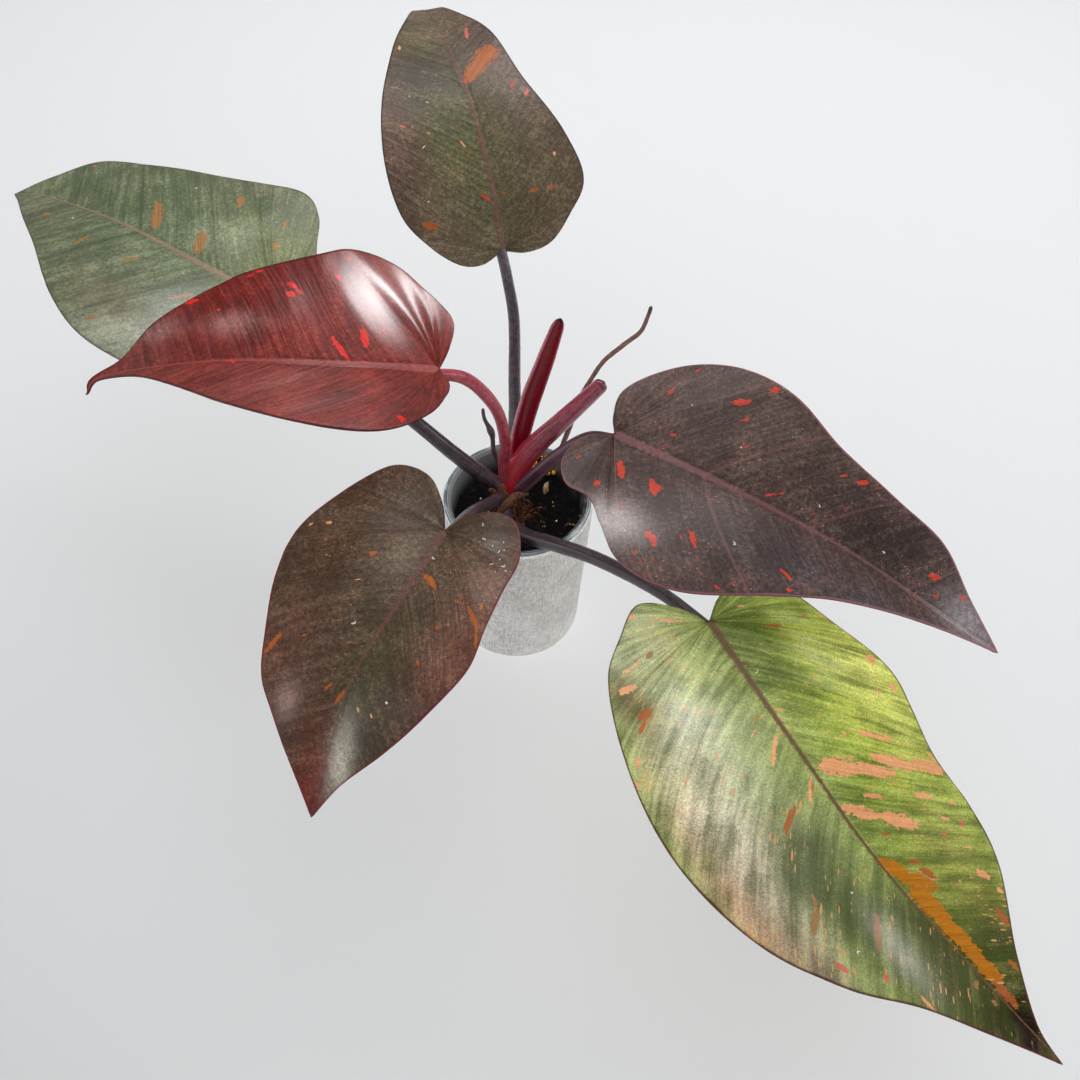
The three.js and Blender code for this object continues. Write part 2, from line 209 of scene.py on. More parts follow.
def limewash(paint):
    place = paint.place()
    brushed = paint.noise(paint.stretched(place, (1, 1, 0.12)), 1500, 2, 0.7)
    combed = paint.noise(paint.stretched(place, (0.12, 0.12, 1)), 1900, 2, 0.6)
    cloudy = paint.noise(place, 40, 2)
    grain = paint.noise(place, 2100, 1, 0.8)
    worn = (brushed * 0.4 + combed * 0.35 + cloudy * 0.2 + grain * 0.2).step(0.42, 0.70)
    colour = worn.blend(0xb2b0ac, 0xf8f6f3)
    pits = (1 - grain.step(0.26, 0.34)) * brushed.step(0.42, 0.6)
    colour = (pits * 0.5).blend(colour, 0x7c7874)
    return {"Base Color": colour, "Roughness": 0.8, "Specular IOR Level": 0.25,
            "Normal": bump(paint, brushed * 0.5 + combed * 0.4 + grain * 0.5, 0.0003, 0.7)}


def mesh_of(name, points, faces):
    """A mesh from points in millimetres."""
    mesh = bpy.data.meshes.new(name)
    mesh.from_pydata((np.asarray(points).reshape(-1, 3) * MM).tolist(), [], faces)
    return mesh


def ring_faces(rings, sides):
    """The faces that join closed rings of points, each ring to the next."""
    return [(k * sides + a, k * sides + (a + 1) % sides, (k + 1) * sides + (a + 1) % sides, (k + 1) * sides + a)
            for k in range(rings - 1) for a in range(sides)]


def finished_piece(name, mesh, material):
    """Merges a mesh's doubles, turns its faces outwards, smooths them and makes it an object."""
    shape = bmesh.new()
    shape.from_mesh(mesh)
    bmesh.ops.remove_doubles(shape, verts=shape.verts, dist=2e-6)
    bmesh.ops.dissolve_degenerate(shape, dist=1e-7, edges=shape.edges)
    bmesh.ops.recalc_face_normals(shape, faces=shape.faces)
    shape.to_mesh(mesh)
    shape.free()
    mesh.polygons.foreach_set("use_smooth", [True] * len(mesh.polygons))
    mesh.materials.clear()
    mesh.materials.append(material)
    piece = bpy.data.objects.new(name, mesh)
    scene.collection.objects.link(piece)
    return piece


def turned(name, outline, material, uneven=None):
    """A closed solid of revolution from an outline of [radius, height] in millimetres, open to the axis."""
    angles = np.arange(POT_SIDES) * 2 * np.pi / POT_SIDES
    rings = []
    for radius, height in np.array(outline, float):
        shift = uneven(angles, height) if uneven else np.zeros((POT_SIDES, 2))
        out = radius + shift[:, 0] * (radius > 1)
        rings.append(np.stack([out * np.cos(angles), out * np.sin(angles), height + shift[:, 1]], 1))
    return finished_piece(name, mesh_of(name, rings, ring_faces(len(rings), POT_SIDES)), material)


def dress(piece, node, slot):
    """The piece stands for its CAD node and rides on the plant's one body."""
    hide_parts(node)
    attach(piece, "root")


def arc(centre, radius, start, end, steps):
    angles = np.radians(np.linspace(start, end, steps + 1))
    return [[centre[0] + radius * math.cos(a), centre[1] + radius * math.sin(a)] for a in angles]


def rim_wear(angles, height):
    """How the rim strays from round and level, and where it is chipped."""
    near_rim = max(0.0, 1 - (RIM_HEIGHT - height) / WEAR_REACH)
    rough = np.sin(5 * angles + 1) * 0.10 + np.sin(11 * angles) * 0.07 + np.sin(23 * angles + 2) * 0.06
    chips = np.zeros_like(angles)
    for place, width in CHIPS:
        chips += np.exp(-(((angles + np.pi - place) % (2 * np.pi) - np.pi) / width) ** 2)
    return np.stack([rough * 0.5, near_rim * (rough - CHIP_DEPTH * chips)], 1)


half_wall = CACHEPOT_WALL / 2
wall_height = RIM_HEIGHT - half_wall - FOOT_ROUNDING
inner_foot = FOOT_RADIUS - CACHEPOT_WALL
dress(turned("outer_pot", [
    [0, 0], [FOOT_RADIUS - FOOT_ROUNDING - 1, 0],
    *arc([FOOT_RADIUS - FOOT_ROUNDING, FOOT_ROUNDING], FOOT_ROUNDING, -90, 0, 10),
    *[[FOOT_RADIUS + (RIM_RADIUS - FOOT_RADIUS) * k / WALL_STEPS, FOOT_ROUNDING + wall_height * k / WALL_STEPS]
      for k in range(1, WALL_STEPS)],
    *arc([RIM_RADIUS - half_wall, RIM_HEIGHT - half_wall], half_wall, 0, 180, 10),
    [inner_foot, CACHEPOT_FLOOR + CACHEPOT_FILLET], [inner_foot - CACHEPOT_FILLET, CACHEPOT_FLOOR],
    [0, CACHEPOT_FLOOR],
], finish("limewash", limewash), uneven=rim_wear), "cachepot", "whitewashed_ceramic")


# Liner pot: the thin grower's pot inside, blow-moulded from glossy blue-grey plastic. Its lip turns
# out over the cachepot's rim, and its inner wall is dull with dried soil. Painted shade darkens the
# inner wall low down, painted light brightens the wall's back half, the lip's groove holds a painted
# shade line and the lip's pale smears are partly painted glints.

LINER_GAP = 0.3
LIP_RADIUS = 40
LIP_TOP = 106
LIP_DEPTH = 2.1
LIP_GROOVE = 0.55
LINER_TOP_RADIUS = 37.3
LINER_FOOT_RADIUS = 30.5
LINER_WALL = 1.3
LINER_FLOOR = 2
# In metres: where the dull wall gives way to the lip, the painted shade line in the lip's groove, and
# the heights between which painted shade darkens the wall.
LIP_STARTS = (0.0377, 0.0382)
LIP_GROOVE_SHADE = 0.0384
WALL_SHADE_HEIGHTS = (0.088, 0.103)


def liner_plastic(paint):
    place = paint.place()
    height = paint.node("ShaderNodeSeparateXYZ", None, {0: place}, 2)
    flat = paint.node("ShaderNodeVectorMath", {"operation": "MULTIPLY"}, {0: place, 1: (1, 1, 0)})
    from_axis = paint.node("ShaderNodeVectorMath", {"operation": "LENGTH"}, {0: flat}, 1)
    dust = paint.noise(place, 300, 3, 0.75)
    smears = paint.noise(paint.stretched(place, (1, 1, 0.25)), 110, 2, 0.6)
    below_lip = 1 - from_axis.step(*LIP_STARTS)
    # Painted shade and light: deep marks the wall painted near-black low in the pot, which also darkens the
    # dust there, and lit is painted light on the wall's back half.
    deep = 1 - height.step(*WALL_SHADE_HEIGHTS)
    lit = paint.reach_along(place, (-0.6, 0.8, 0)).step(-0.01, 0.03)
    wall = deep.blend(lit.blend(0x24282a, 0x909496), 0x0a0a0b)
    dusty = (dust * 0.7 + smears * 0.5).step(0.50, 0.84)
    wall = (dusty * 0.8).blend(wall, (1 - deep).blend(0x3a3a3a, 0x8e9090))
    # The lip's pale smears are partly the plastic's own mottling and partly painted glints; the dark line at
    # its groove is painted shade.
    lip = (smears.step(0.45, 0.7) * 0.5).blend(0x727e86, 0xdce2e4)
    lip = ((1 - (from_axis - LIP_GROOVE_SHADE).size().step(0.0001, 0.0005)) * 0.7).blend(lip, 0x2c3238)
    return {"Base Color": below_lip.blend(lip, wall), "Roughness": 0.07 + below_lip * (0.25 + dusty * 0.4),
            "Specular IOR Level": 0.9, "Normal": bump(paint, dust, 0.0002, 0.3)}


liner_foot = CACHEPOT_FLOOR + LINER_GAP
under_lip = LIP_TOP - LIP_DEPTH


def liner_radius(height):
    share = (height - liner_foot) / (under_lip - liner_foot)
    return LINER_FOOT_RADIUS + share * (LINER_TOP_RADIUS - LINER_FOOT_RADIUS)


dress(turned("inner_pot", [
    [0, liner_foot], [LINER_FOOT_RADIUS - 1, liner_foot], [LINER_FOOT_RADIUS, liner_foot + 1],
    *[[liner_radius(z), z] for z in np.linspace(20, under_lip, 8)],
    *arc([LIP_RADIUS - LIP_DEPTH / 2, LIP_TOP - LIP_DEPTH / 2], LIP_DEPTH / 2, -90, 100, 12),
    [LIP_RADIUS - 1.35, LIP_TOP - LIP_GROOVE], [LIP_RADIUS - 1.65, LIP_TOP - LIP_GROOVE],
    *arc([LIP_RADIUS - 2.1, LIP_TOP - 0.5], 0.45, 60, 175, 6),
    *[[liner_radius(z) - LINER_WALL, z]
      for z in (104.6, 103.6, 102, 98, 94, 88, 60, liner_foot + LINER_FLOOR + 1)],
    [LINER_FOOT_RADIUS - LINER_WALL - 1, liner_foot + LINER_FLOOR], [0, liner_foot + LINER_FLOOR],
], finish("liner_plastic", liner_plastic)), "liner_pot", "grey_liner")


# Soil: near-black potting mix pressed round the roots, with bark, perlite and green moss. It was
# poured in and watered down, which banked its amber fertiliser beads against the pot's back wall.
# Its near-black colour is partly the mix's own and partly painted shade inside the pot.

SOIL_EDGE_HEIGHT = 89
SOIL_CROWN_HEIGHT = 92
SOIL_SHOULDER = 0.62
SOIL_RINGS = 46
SOIL_SIDES = 150
BEAD_PLACE = (13, 34)
BEAD_REACH = 9
BEAD_HEAP = 16


def value_noise(points, cell, seed):
    """Smooth random heights from -1 to 1 over flat points, with bumps about one cell wide."""
    dice = np.random.default_rng(seed)
    table = dice.uniform(-1, 1, (64, 64))
    grid = np.asarray(points, float) / cell
    base = np.floor(grid).astype(int)
    part = grid - base
    ease = part * part * (3 - 2 * part)
    i, j = base[..., 0] % 64, base[..., 1] % 64
    i1, j1 = (i + 1) % 64, (j + 1) % 64
    low = table[i, j] * (1 - ease[..., 0]) + table[i1, j] * ease[..., 0]
    high = table[i, j1] * (1 - ease[..., 0]) + table[i1, j1] * ease[..., 0]
    return low * (1 - ease[..., 1]) + high * ease[..., 1]


def soil_top(x, y, edge):
    """The height of the soil's top over a flat place."""
    share = np.hypot(x, y) / edge
    crown = np.where(share < SOIL_SHOULDER,
                     SOIL_CROWN_HEIGHT - share / SOIL_SHOULDER,
                     SOIL_CROWN_HEIGHT - 1 - (share - SOIL_SHOULDER) / (1 - SOIL_SHOULDER) * 2)
    flat = np.stack([x, y], -1)
    heap = BEAD_HEAP * np.exp(-((x - BEAD_PLACE[0]) ** 2 + (y - BEAD_PLACE[1]) ** 2) / BEAD_REACH ** 2)
    return crown + heap + 0.7 * value_noise(flat, 6, 1) + 0.5 * value_noise(flat, 2.2, 2) - 0.6


def earth(paint):
    place = paint.place()
    lumps = paint.noise(place, 240, 5, 0.7)
    fine = paint.noise(place, 1300, 3, 0.7)
    # Partly painted shade: the soil is coloured darker than the mix itself, for the shade inside the pot.
    colour = (lumps * 0.6 + fine * 0.4).step(0.42, 0.7).blend(0x020202, 0x100b09)
    return {"Base Color": colour, "Roughness": 0.95, "Specular IOR Level": 0.15,
            "Normal": bump(paint, lumps + fine * 0.5, 0.0012)}


soil_foot = CACHEPOT_FLOOR + LINER_GAP + LINER_FLOOR + LINER_GAP
soil_edge = liner_radius(SOIL_EDGE_HEIGHT) - LINER_WALL - LINER_GAP
angles = np.arange(SOIL_SIDES) * 2 * np.pi / SOIL_SIDES
rows = []
for k in range(SOIL_RINGS + 1):
    radius = soil_edge * k / SOIL_RINGS
    x, y = radius * np.cos(angles), radius * np.sin(angles)
    z = soil_top(x, y, soil_edge) if k else np.full(SOIL_SIDES, SOIL_CROWN_HEIGHT - 0.5)
    rows.append(np.stack([x, y, z], 1))
for radius in (liner_radius(soil_foot) - LINER_WALL - 2 * LINER_GAP, 0):
    rows.append(np.stack([radius * np.cos(angles), radius * np.sin(angles), np.full(SOIL_SIDES, soil_foot)], 1))
soil_mesh = mesh_of("soil_bed", rows, ring_faces(len(rows), SOIL_SIDES))
dress(finished_piece("soil_bed", soil_mesh, finish("earth", earth)), "soil", "potting_soil")


class Growth:
    """A Geometry Nodes tree in the making: named inputs, nodes by type, and the closing nodes."""

    def __init__(self, name, **given):
        self.tree = bpy.data.node_groups.new(name, "GeometryNodeTree")
        self.tree.interface.new_socket("Geometry", in_out="INPUT", socket_type="NodeSocketGeometry")
        kinds = {int: "NodeSocketInt", float: "NodeSocketFloat", tuple: "NodeSocketVector"}
        for key, value in given.items():
            socket = self.tree.interface.new_socket(key, in_out="INPUT", socket_type=kinds[type(value)])
            socket.default_value = value
        self.tree.interface.new_socket("Finish", in_out="INPUT", socket_type="NodeSocketMaterial")
        self.tree.interface.new_socket("Geometry", in_out="OUTPUT", socket_type="NodeSocketGeometry")
        self.given = self.tree.nodes.new("NodeGroupInput").outputs

    def node(self, kind, settings=None, values=None, out=0):
        made = self.tree.nodes.new(kind)
        for key, value in (settings or {}).items():
            setattr(made, key, value)
        for key, value in (values or {}).items():
            if isinstance(value, bpy.types.NodeSocket):
                self.tree.links.new(value, made.inputs[key])
            else:
                made.inputs[key].default_value = value
        return made.outputs[out]

    def math(self, operation, first, second=0.0):
        return self.node("ShaderNodeMath", {"operation": operation}, {0: first, 1: second})

    def roughened(self, geometry, height, scale):
        """Pushes the surface in and out by a noise of that height."""
        grain = self.node("ShaderNodeTexNoise", None, {"Scale": scale, "Detail": 2.0})
        lifted = self.math("MULTIPLY", self.math("SUBTRACT", grain, 0.5), height)
        shift = self.node("ShaderNodeVectorMath", {"operation": "SCALE"},
                          {0: self.node("GeometryNodeInputNormal"), "Scale": lifted})
        return self.node("GeometryNodeSetPosition", None, {0: geometry, "Offset": shift})

    def kept(self, geometry, name, value):
        """Stores a number at each point, for the material to read."""
        return self.node("GeometryNodeStoreNamedAttribute", {"data_type": "FLOAT", "domain": "POINT"},
                         {0: geometry, "Name": name, "Value": value})

    def close(self, geometry):
        """Ends the tree: instances made real, and the material set."""
        real = self.node("GeometryNodeRealizeInstances", None, {0: geometry})
        painted = self.node("GeometryNodeSetMaterial", None, {0: real, "Material": self.given["Finish"]})
        self.tree.links.new(painted, self.tree.nodes.new("NodeGroupOutput").inputs[0])
        return self.tree


def applied(name, data, tree, material, **sizes):
    """Runs a tree on a mesh or curve and returns what grows as one plain piece."""
    guide = bpy.data.objects.new(name + "_guide", data)
    scene.collection.objects.link(guide)
    modifier = guide.modifiers.new("growth", "NODES")
    modifier.node_group = tree
    identifiers = {item.name: item.identifier for item in tree.interface.items_tree if item.in_out == "INPUT"}
    for key, value in sizes.items():
        modifier[identifiers[key]] = value
    modifier[identifiers["Finish"]] = material
    bpy.context.view_layer.update()
    mesh = bpy.data.meshes.new_from_object(guide.evaluated_get(bpy.context.evaluated_depsgraph_get()))
    mesh.name = name
    bpy.data.objects.remove(guide)
    return finished_piece(name, mesh, material)


def scatter_tree():
    """Lumps of random size, stretch and turn, strewn over a surface."""
    growth = Growth("strewn", Density=1000.0, Seed=1, Smallest=0.0004, Largest=0.001, Stretch=(1.0, 1.0, 1.0),
                    Roughness=0.0, Facets=2)
    given = growth.given
    points = growth.node("GeometryNodeDistributePointsOnFaces", None,
                         {0: given["Geometry"], "Density": given["Density"], "Seed": given["Seed"]})
    lump = growth.node("GeometryNodeMeshIcoSphere", None, {"Radius": 1.0, "Subdivisions": given["Facets"]})
    size = growth.node("FunctionNodeRandomValue", {"data_type": "FLOAT"},
                       {2: given["Smallest"], 3: given["Largest"], "Seed": given["Seed"]}, 1)
    turn = growth.node("FunctionNodeRandomValue", {"data_type": "FLOAT_VECTOR"},
                       {0: (-0.6, -0.6, 0.0), 1: (0.6, 0.6, 6.28), "Seed": given["Seed"]})
    scale = growth.node("ShaderNodeVectorMath", {"operation": "SCALE"}, {0: given["Stretch"], "Scale": size})
    strewn = growth.node("GeometryNodeInstanceOnPoints", None,
                         {0: points, "Instance": lump, "Rotation": turn, "Scale": scale})
    real = growth.node("GeometryNodeRealizeInstances", None, {0: strewn})
    return growth.close(growth.roughened(real, given["Roughness"], 900.0))


STREWN = scatter_tree()


def bed(centre, reach):
    """The soil's top within reach of a place, as a mesh to strew things on."""
    corners = np.array([v.co[:] for v in soil_mesh.vertices]) / MM
    keep = []
    for face in soil_mesh.polygons:
        middle = corners[list(face.vertices)].mean(0)
        if middle[2] > SOIL_EDGE_HEIGHT - 3 and math.dist(middle[:2], centre) < reach:
            keep.append(list(face.vertices))
    return mesh_of("bed", corners, keep)


def speckled(dark, pale, scale, roughness=0.9, gloss=0.2):
    """A crumb's surface: two tones in a fine noise."""
    def paint_surface(paint):
        place = paint.place()
        tone = paint.noise(place, scale, 3, 0.7)
        return {"Base Color": tone.step(0.38, 0.66).blend(dark, pale), "Roughness": roughness,
                "Specular IOR Level": gloss, "Normal": bump(paint, tone, 0.0003, 0.6)}
    return paint_surface


# Each kind of crumb: its surface, place, reach, number per square metre, smallest and largest size,
# stretch and roughness.
MIX = {
    # The dark and coarse crumbs are near-black partly as painted shade inside the pot.
    "dark_crumbs": (speckled(0x030202, 0x140e0b, 700), (0, 0), 35, 150000, 0.35, 1.1, (1, 0.8, 0.7), 0.7),
    "coarse_crumbs": (speckled(0x050303, 0x1e1510, 500), (0, 0), 33, 26000, 0.9, 2.0, (1.2, 0.8, 0.6), 1.4),
    "bark_chips": (speckled(0x180e09, 0x4c3322, 350), (0, 0), 32, 5200, 1.2, 2.6, (1.5, 0.6, 0.35), 0.8),
    "perlite": (speckled(0xb9b2a4, 0xe9e4da, 900, 0.8), (4, 2), 31, 5200, 0.3, 0.75, (1, 0.9, 0.8), 0.5),
    "amber_beads": (speckled(0xb07a10, 0xffc83c, 300, 0.2, 0.6), BEAD_PLACE, BEAD_REACH, 260000, 1.0, 1.6,
                    (1, 1, 1), 0.1),
    "moss_bits": (speckled(0x4c5c0c, 0xa0a834, 600), (23, 1), 13, 26000, 0.4, 1.0, (1.3, 0.7, 0.4), 0.8),
}
FIRST_SEED = 3
COARSE_ABOVE = 100000  # crumbs strewn more densely than this get fewer facets
for seed, (name, mix) in enumerate(MIX.items()):
    look, place, reach, density, small, large, stretch, rough = mix
    crumbs = applied(name, bed(place, reach), STREWN, finish(name + "_skin", look), Density=float(density),
                     Seed=seed + FIRST_SEED, Smallest=small * MM, Largest=large * MM, Stretch=stretch,
                     Roughness=rough * MM, Facets=1 if density > COARSE_ABOVE else 2)
    dress(crumbs, "soil", "potting_soil")


# Petioles, stem and roots: every stalk is grown tissue that tapers from the crown to its joint. A
# petiole has a shallow channel along its upper side and grows straight into its blade's midrib.

STALK_TAPER = 0.7
JOINT_REACH = 4
JOINT_DROP = 0.4
BEND_REACH = 60
STALK_CHANNEL = 0.2
STALK_STEPS = 80

# Each leaf's midrib in space, its left and right margins as along and across the flat blade, its roll,
# fold and curl in degrees from foot to tip (fold and curl left, then right), the wave of its margin as
# height, count and phase, and its stalk's radii at both ends and route out of the crown.
LEAVES = {
    "top": {
        "rib": [(-12, 82, 205), (-19, 101, 234), (-31, 134, 256), (-47, 180, 264), (-61, 224, 257),
                (-62, 246, 238)],
        "left": [(0, 0), (-5, 12), (-3, 24), (8, 37), (26, 49), (54, 51), (90, 43), (125, 29), (160, 14),
                 (203, 0)],
        "right": [(0, 0), (-3, 12), (0, 26), (12, 38), (28, 48), (52, 43), (88, 31), (125, 24), (160, 13),
                  (203, 0)],
        "roll": (0, -4), "fold": ((8, 4), (8, 4)), "curl": ((-12, -14), (-12, -14)),
        "wave": (1.2, 3, 0.6), "radius": (4.5, 3.1),
        "stalk": [(-4, 12, 98), (-3, 38, 118), (-4, 56, 142), (-5, 68, 171), (-9, 75, 193)],
    },
    "back_left": {
        "rib": [(-129, 57, 184), (-170, 78, 192), (-224, 116, 188), (-281, 158, 172), (-308, 175, 160)],
        "left": [(0, 0), (-20, 8), (-31, 28), (-22, 50), (8, 68), (56, 71), (99, 59), (142, 37), (183, 19),
                 (220, 0)],
        "right": [(0, 0), (-9, 8), (-6, 26), (5, 46), (14, 62), (30, 71), (62, 65), (100, 55), (140, 44),
                  (178, 37),
                  (198, 17), (220, 0)],
        "roll": (-6, -6), "fold": ((8, 4), (8, 4)), "curl": ((-12, -12), (-12, -12)),
        "wave": (1.2, 2.5, 2), "radius": (5, 3),
        "stalk": [(-6, 10, 97), (-34, 15, 121), (-56, 21, 140), (-94, 34, 168)],
    },
    "red": {
        "rib": [(-37, -11, 208), (-85, -22, 220), (-139, -17, 214), (-198, -7, 192), (-208, -12, 184)],
        "left": [(0, 0), (-3, 10), (0, 20), (12, 34), (35, 46), (60, 41), (90, 30), (120, 16), (150, 5),
                 (185, 0)],
        "right": [(0, 0), (-6, 12), (-9, 28), (2, 44), (14, 59), (32, 65), (62, 62), (95, 55), (125, 42),
                  (150, 27),
                  (163, 8), (185, 0)],
        "roll": (-12, -8), "fold": ((22, 12), (8, 4)), "curl": ((-6, -4), (-10, -6)),
        "wave": (0.8, 2.5, 1), "radius": (4.4, 3.0),
        "stalk": [(-7, 11, 98), (-8, 10, 122), (-7, 7, 140), (-10, 3, 165), (-17, -1, 184), (-27, -5, 198)],
    },
    "right": {
        "rib": [(47, -17, 176), (98, -53, 182), (151, -77, 170), (194, -94, 150), (230, -105, 130)],
        "left": [(0, 0), (-6, 8), (-10, 22), (-2, 38), (14, 53), (38, 60), (73, 57), (104, 43), (134, 34),
                 (165, 29),
                 (190, 14), (215, 0)],
        "right": [(0, 0), (-11, 9), (-12, 26), (-2, 38), (14, 40), (28, 50), (46, 63), (68, 63), (97, 47),
                  (135, 27),
                  (170, 12), (215, 0)],
        "roll": (10, 8), "fold": ((10, 20), (10, 20)),
        "curl": ((-12, -12), (-12, -12)), "wave": (0.9, 2.5, 3), "radius": (5, 2.9),
        "stalk": [(-2, 9, 97), (10, 2, 123), (22, -3, 145), (36, -9, 164)],
    },
    "front_left": {
        "rib": [(-31, -72, 165), (-50, -112, 160), (-69, -146, 143), (-85, -186, 97)],
        "left": [(0, 0), (-9, 5), (-15, 19), (-12, 33), (4, 43), (23, 44), (40, 46), (58, 49), (83, 40),
                 (106, 27),
                 (130, 10), (150, 0)],
        "right": [(0, 0), (-12, 8), (-23, 22), (-22, 39), (-8, 50), (18, 60), (39, 62), (65, 58), (91, 43),
                  (117, 25),
                  (150, 0)],
        "roll": (0, 0), "fold": ((22, 12), (6, 2)), "curl": ((-15, -15), (-12, -12)),
        "wave": (1, 2.5, 0), "radius": (3.9, 2.7),
        "stalk": [(-6, 8, 98), (-15, -11, 112), (-23, -40, 138)],
    },
    "front_right": {
        "rib": [(93, -100, 140), (129, -170, 142), (167, -215, 120), (240, -273, 75)],
        "left": [(0, 0), (-9, 10), (-14, 24), (-2, 42), (26, 53), (60, 61), (100, 57), (145, 54), (175, 45),
                 (203, 20),
                 (226, 4), (245, 0)],
        "right": [(0, 0), (-13, 11), (-21, 27), (-8, 43), (10, 58), (45, 69), (85, 74), (120, 66), (152, 49),
                  (180, 30), (212, 15), (245, 0)],
        "roll": (4, 4), "fold": ((6, 4), (12, 8)), "curl": ((-22, -22), (-10, -10)),
        "wave": (1.4, 3, 1.5), "radius": (4.9, 3.4),
        "stalk": [(-6, 3, 97), (-6, -12, 99), (6, -27, 106), (21, -39, 115), (43, -54, 123), (71, -80, 134)],
    },
}


def smooth_curve(points, steps):
    """A Catmull-Rom curve through points, cut into equal lengths."""
    p = np.asarray(points, float)
    ends = np.vstack([2 * p[0] - p[1], p, 2 * p[-1] - p[-2]])
    u = np.linspace(0, len(p) - 1, 60 * len(p) + 1)
    i = np.minimum(u.astype(int), len(p) - 2)
    t = (u - i)[:, None]
    a, b, c, d = ends[i], ends[i + 1], ends[i + 2], ends[i + 3]
    start, end = (c - a) / 2, (d - b) / 2
    dense = (2 * b - 2 * c + start + end) * t**3 + (-3 * b + 3 * c - 2 * start - end) * t**2 + start * t + b
    reach = np.concatenate([[0], np.cumsum(np.linalg.norm(np.diff(dense, axis=0), axis=1))])
    even = np.linspace(0, reach[-1], steps + 1)
    return np.stack([np.interp(even, reach, dense[:, k]) for k in range(p.shape[1])], 1)


def unit(v):
    return v / np.linalg.norm(v, axis=-1, keepdims=True)


def lerp(ends, share):
    return ends[0] + (ends[1] - ends[0]) * share


class LeafForm:
    """How a leaf's flat outline hangs in space on its midrib, as in the CAD source."""

    def __init__(self, leaf):
        self.leaf = leaf
        self.rib = smooth_curve(leaf["rib"], 600)
        steps = np.linalg.norm(np.diff(self.rib, axis=0), axis=1)
        self.reach = np.concatenate([[0], np.cumsum(steps)])
        self.length = self.reach[-1]
        self.ahead = unit(np.gradient(self.rib, self.reach, axis=0))

    def point(self, x, y, side, depth):
        """The place of x along and y across, in millimetres, at a depth below the upper face."""
        share = np.clip(x / self.length, 0, 1)
        held = share * self.length
        centre = np.stack([np.interp(held, self.reach, self.rib[:, k]) for k in range(3)], -1)
        along = unit(np.stack([np.interp(held, self.reach, self.ahead[:, k]) for k in range(3)], -1))
        centre = centre + along * (x - held)[..., None]
        level = unit(np.cross((0.0, 0.0, 1.0), along))
        lift = np.cross(along, level)
        roll = np.radians(lerp(self.leaf["roll"], share))[..., None]
        left = level * np.cos(roll) + lift * np.sin(roll)
        normal = np.cross(along, left)
        half = 0 if side > 0 else 1
        fold = np.radians(lerp(self.leaf["fold"][half], share))
        bend = np.radians(lerp(self.leaf["curl"][half], share)) / BEND_REACH
        angle = fold + bend * y
        across = (np.sin(angle) - np.sin(fold)) / bend
        rise = (np.cos(fold) - np.cos(angle)) / bend
        tilt = np.where(y > 0, angle, 0)
        return (centre + (side * (across + depth * np.sin(tilt)))[..., None] * left
                + (rise - depth * np.cos(tilt))[..., None] * normal)


forms = {name: LeafForm(leaf) for name, leaf in LEAVES.items()}


def grown_tree():
    """A round section, channelled or rolled up on itself, swept along a curve of given radii."""
    growth = Growth("grown_stalk", Sides=24, Channel=0.0, Overlap=0.0, Seam=0.0, Facing=(0.0, -1.0, 0.0),
                    Ridges=0.0, Spacing=300.0)
    given = growth.given
    facing = growth.node("GeometryNodeSetCurveNormal", {"mode": "FREE"},
                         {0: given["Geometry"], "Normal": given["Facing"]})
    marked = growth.kept(facing, "along", growth.node("GeometryNodeSplineParameter"))
    ring = growth.node("GeometryNodeCurvePrimitiveCircle", None, {"Resolution": given["Sides"], "Radius": 1.0})
    place = growth.node("GeometryNodeInputPosition")
    right = growth.node("ShaderNodeSeparateXYZ", None, {0: place}, 0)
    top = growth.node("ShaderNodeSeparateXYZ", None, {0: place}, 1)
    turn = growth.math("MULTIPLY", growth.math("ARCTAN2", top, right), 1 / (2 * math.pi))
    turn = growth.math("FRACT", growth.math("ADD", turn, given["Seam"]))
    out_by = growth.math("ADD", growth.math("MULTIPLY", turn, given["Overlap"]), 1.0)
    rolled = growth.node("ShaderNodeVectorMath", {"operation": "SCALE"}, {0: place, "Scale": out_by})
    pressed = growth.math("POWER", growth.math("MAXIMUM", top, 0.0), 3.0)
    sunk = growth.math("MULTIPLY", growth.math("MULTIPLY", pressed, given["Channel"]), -1.0)
    shift = growth.node("ShaderNodeCombineXYZ", None, {1: sunk})
    section = growth.node("GeometryNodeSetPosition", None, {0: ring, "Position": rolled, "Offset": shift})
    section = growth.kept(growth.kept(section, "upper", top), "turn", turn)
    radius = growth.node("GeometryNodeInputRadius")
    swept = growth.node("GeometryNodeCurveToMesh", None,
                        {0: marked, 1: section, "Scale": radius, "Fill Caps": True})
    return growth.close(growth.roughened(swept, given["Ridges"], given["Spacing"]))


GROWN = grown_tree()


def grow(name, routes, material, **sizes):
    """Sweeps each route of (points, radii) in millimetres and returns one plain mesh."""
    line = bpy.data.curves.new(name + "_line", "CURVE")
    line.dimensions = "3D"
    for points, radii in routes:
        spline = line.splines.new("POLY")
        spline.points.add(len(points) - 1)
        spline.points.foreach_set("co", np.hstack([points * MM, np.ones((len(points), 1))]).ravel())
        spline.points.foreach_set("radius", np.asarray(radii, float) * MM)
    return applied(name, line, GROWN, material, **sizes)


def rounded_ends(radii, points, tip=1.0):
    """Draws the radii in over the last stretch, so that the tip closes round."""
    reach = np.concatenate([[0], np.cumsum(np.linalg.norm(np.diff(points, axis=0), axis=1))])
    left = (reach[-1] - reach) / (radii[-1] * tip)
    return radii * np.sqrt(np.clip(1 - np.clip(1 - left, 0, 1) ** 2, 0.002, 1))


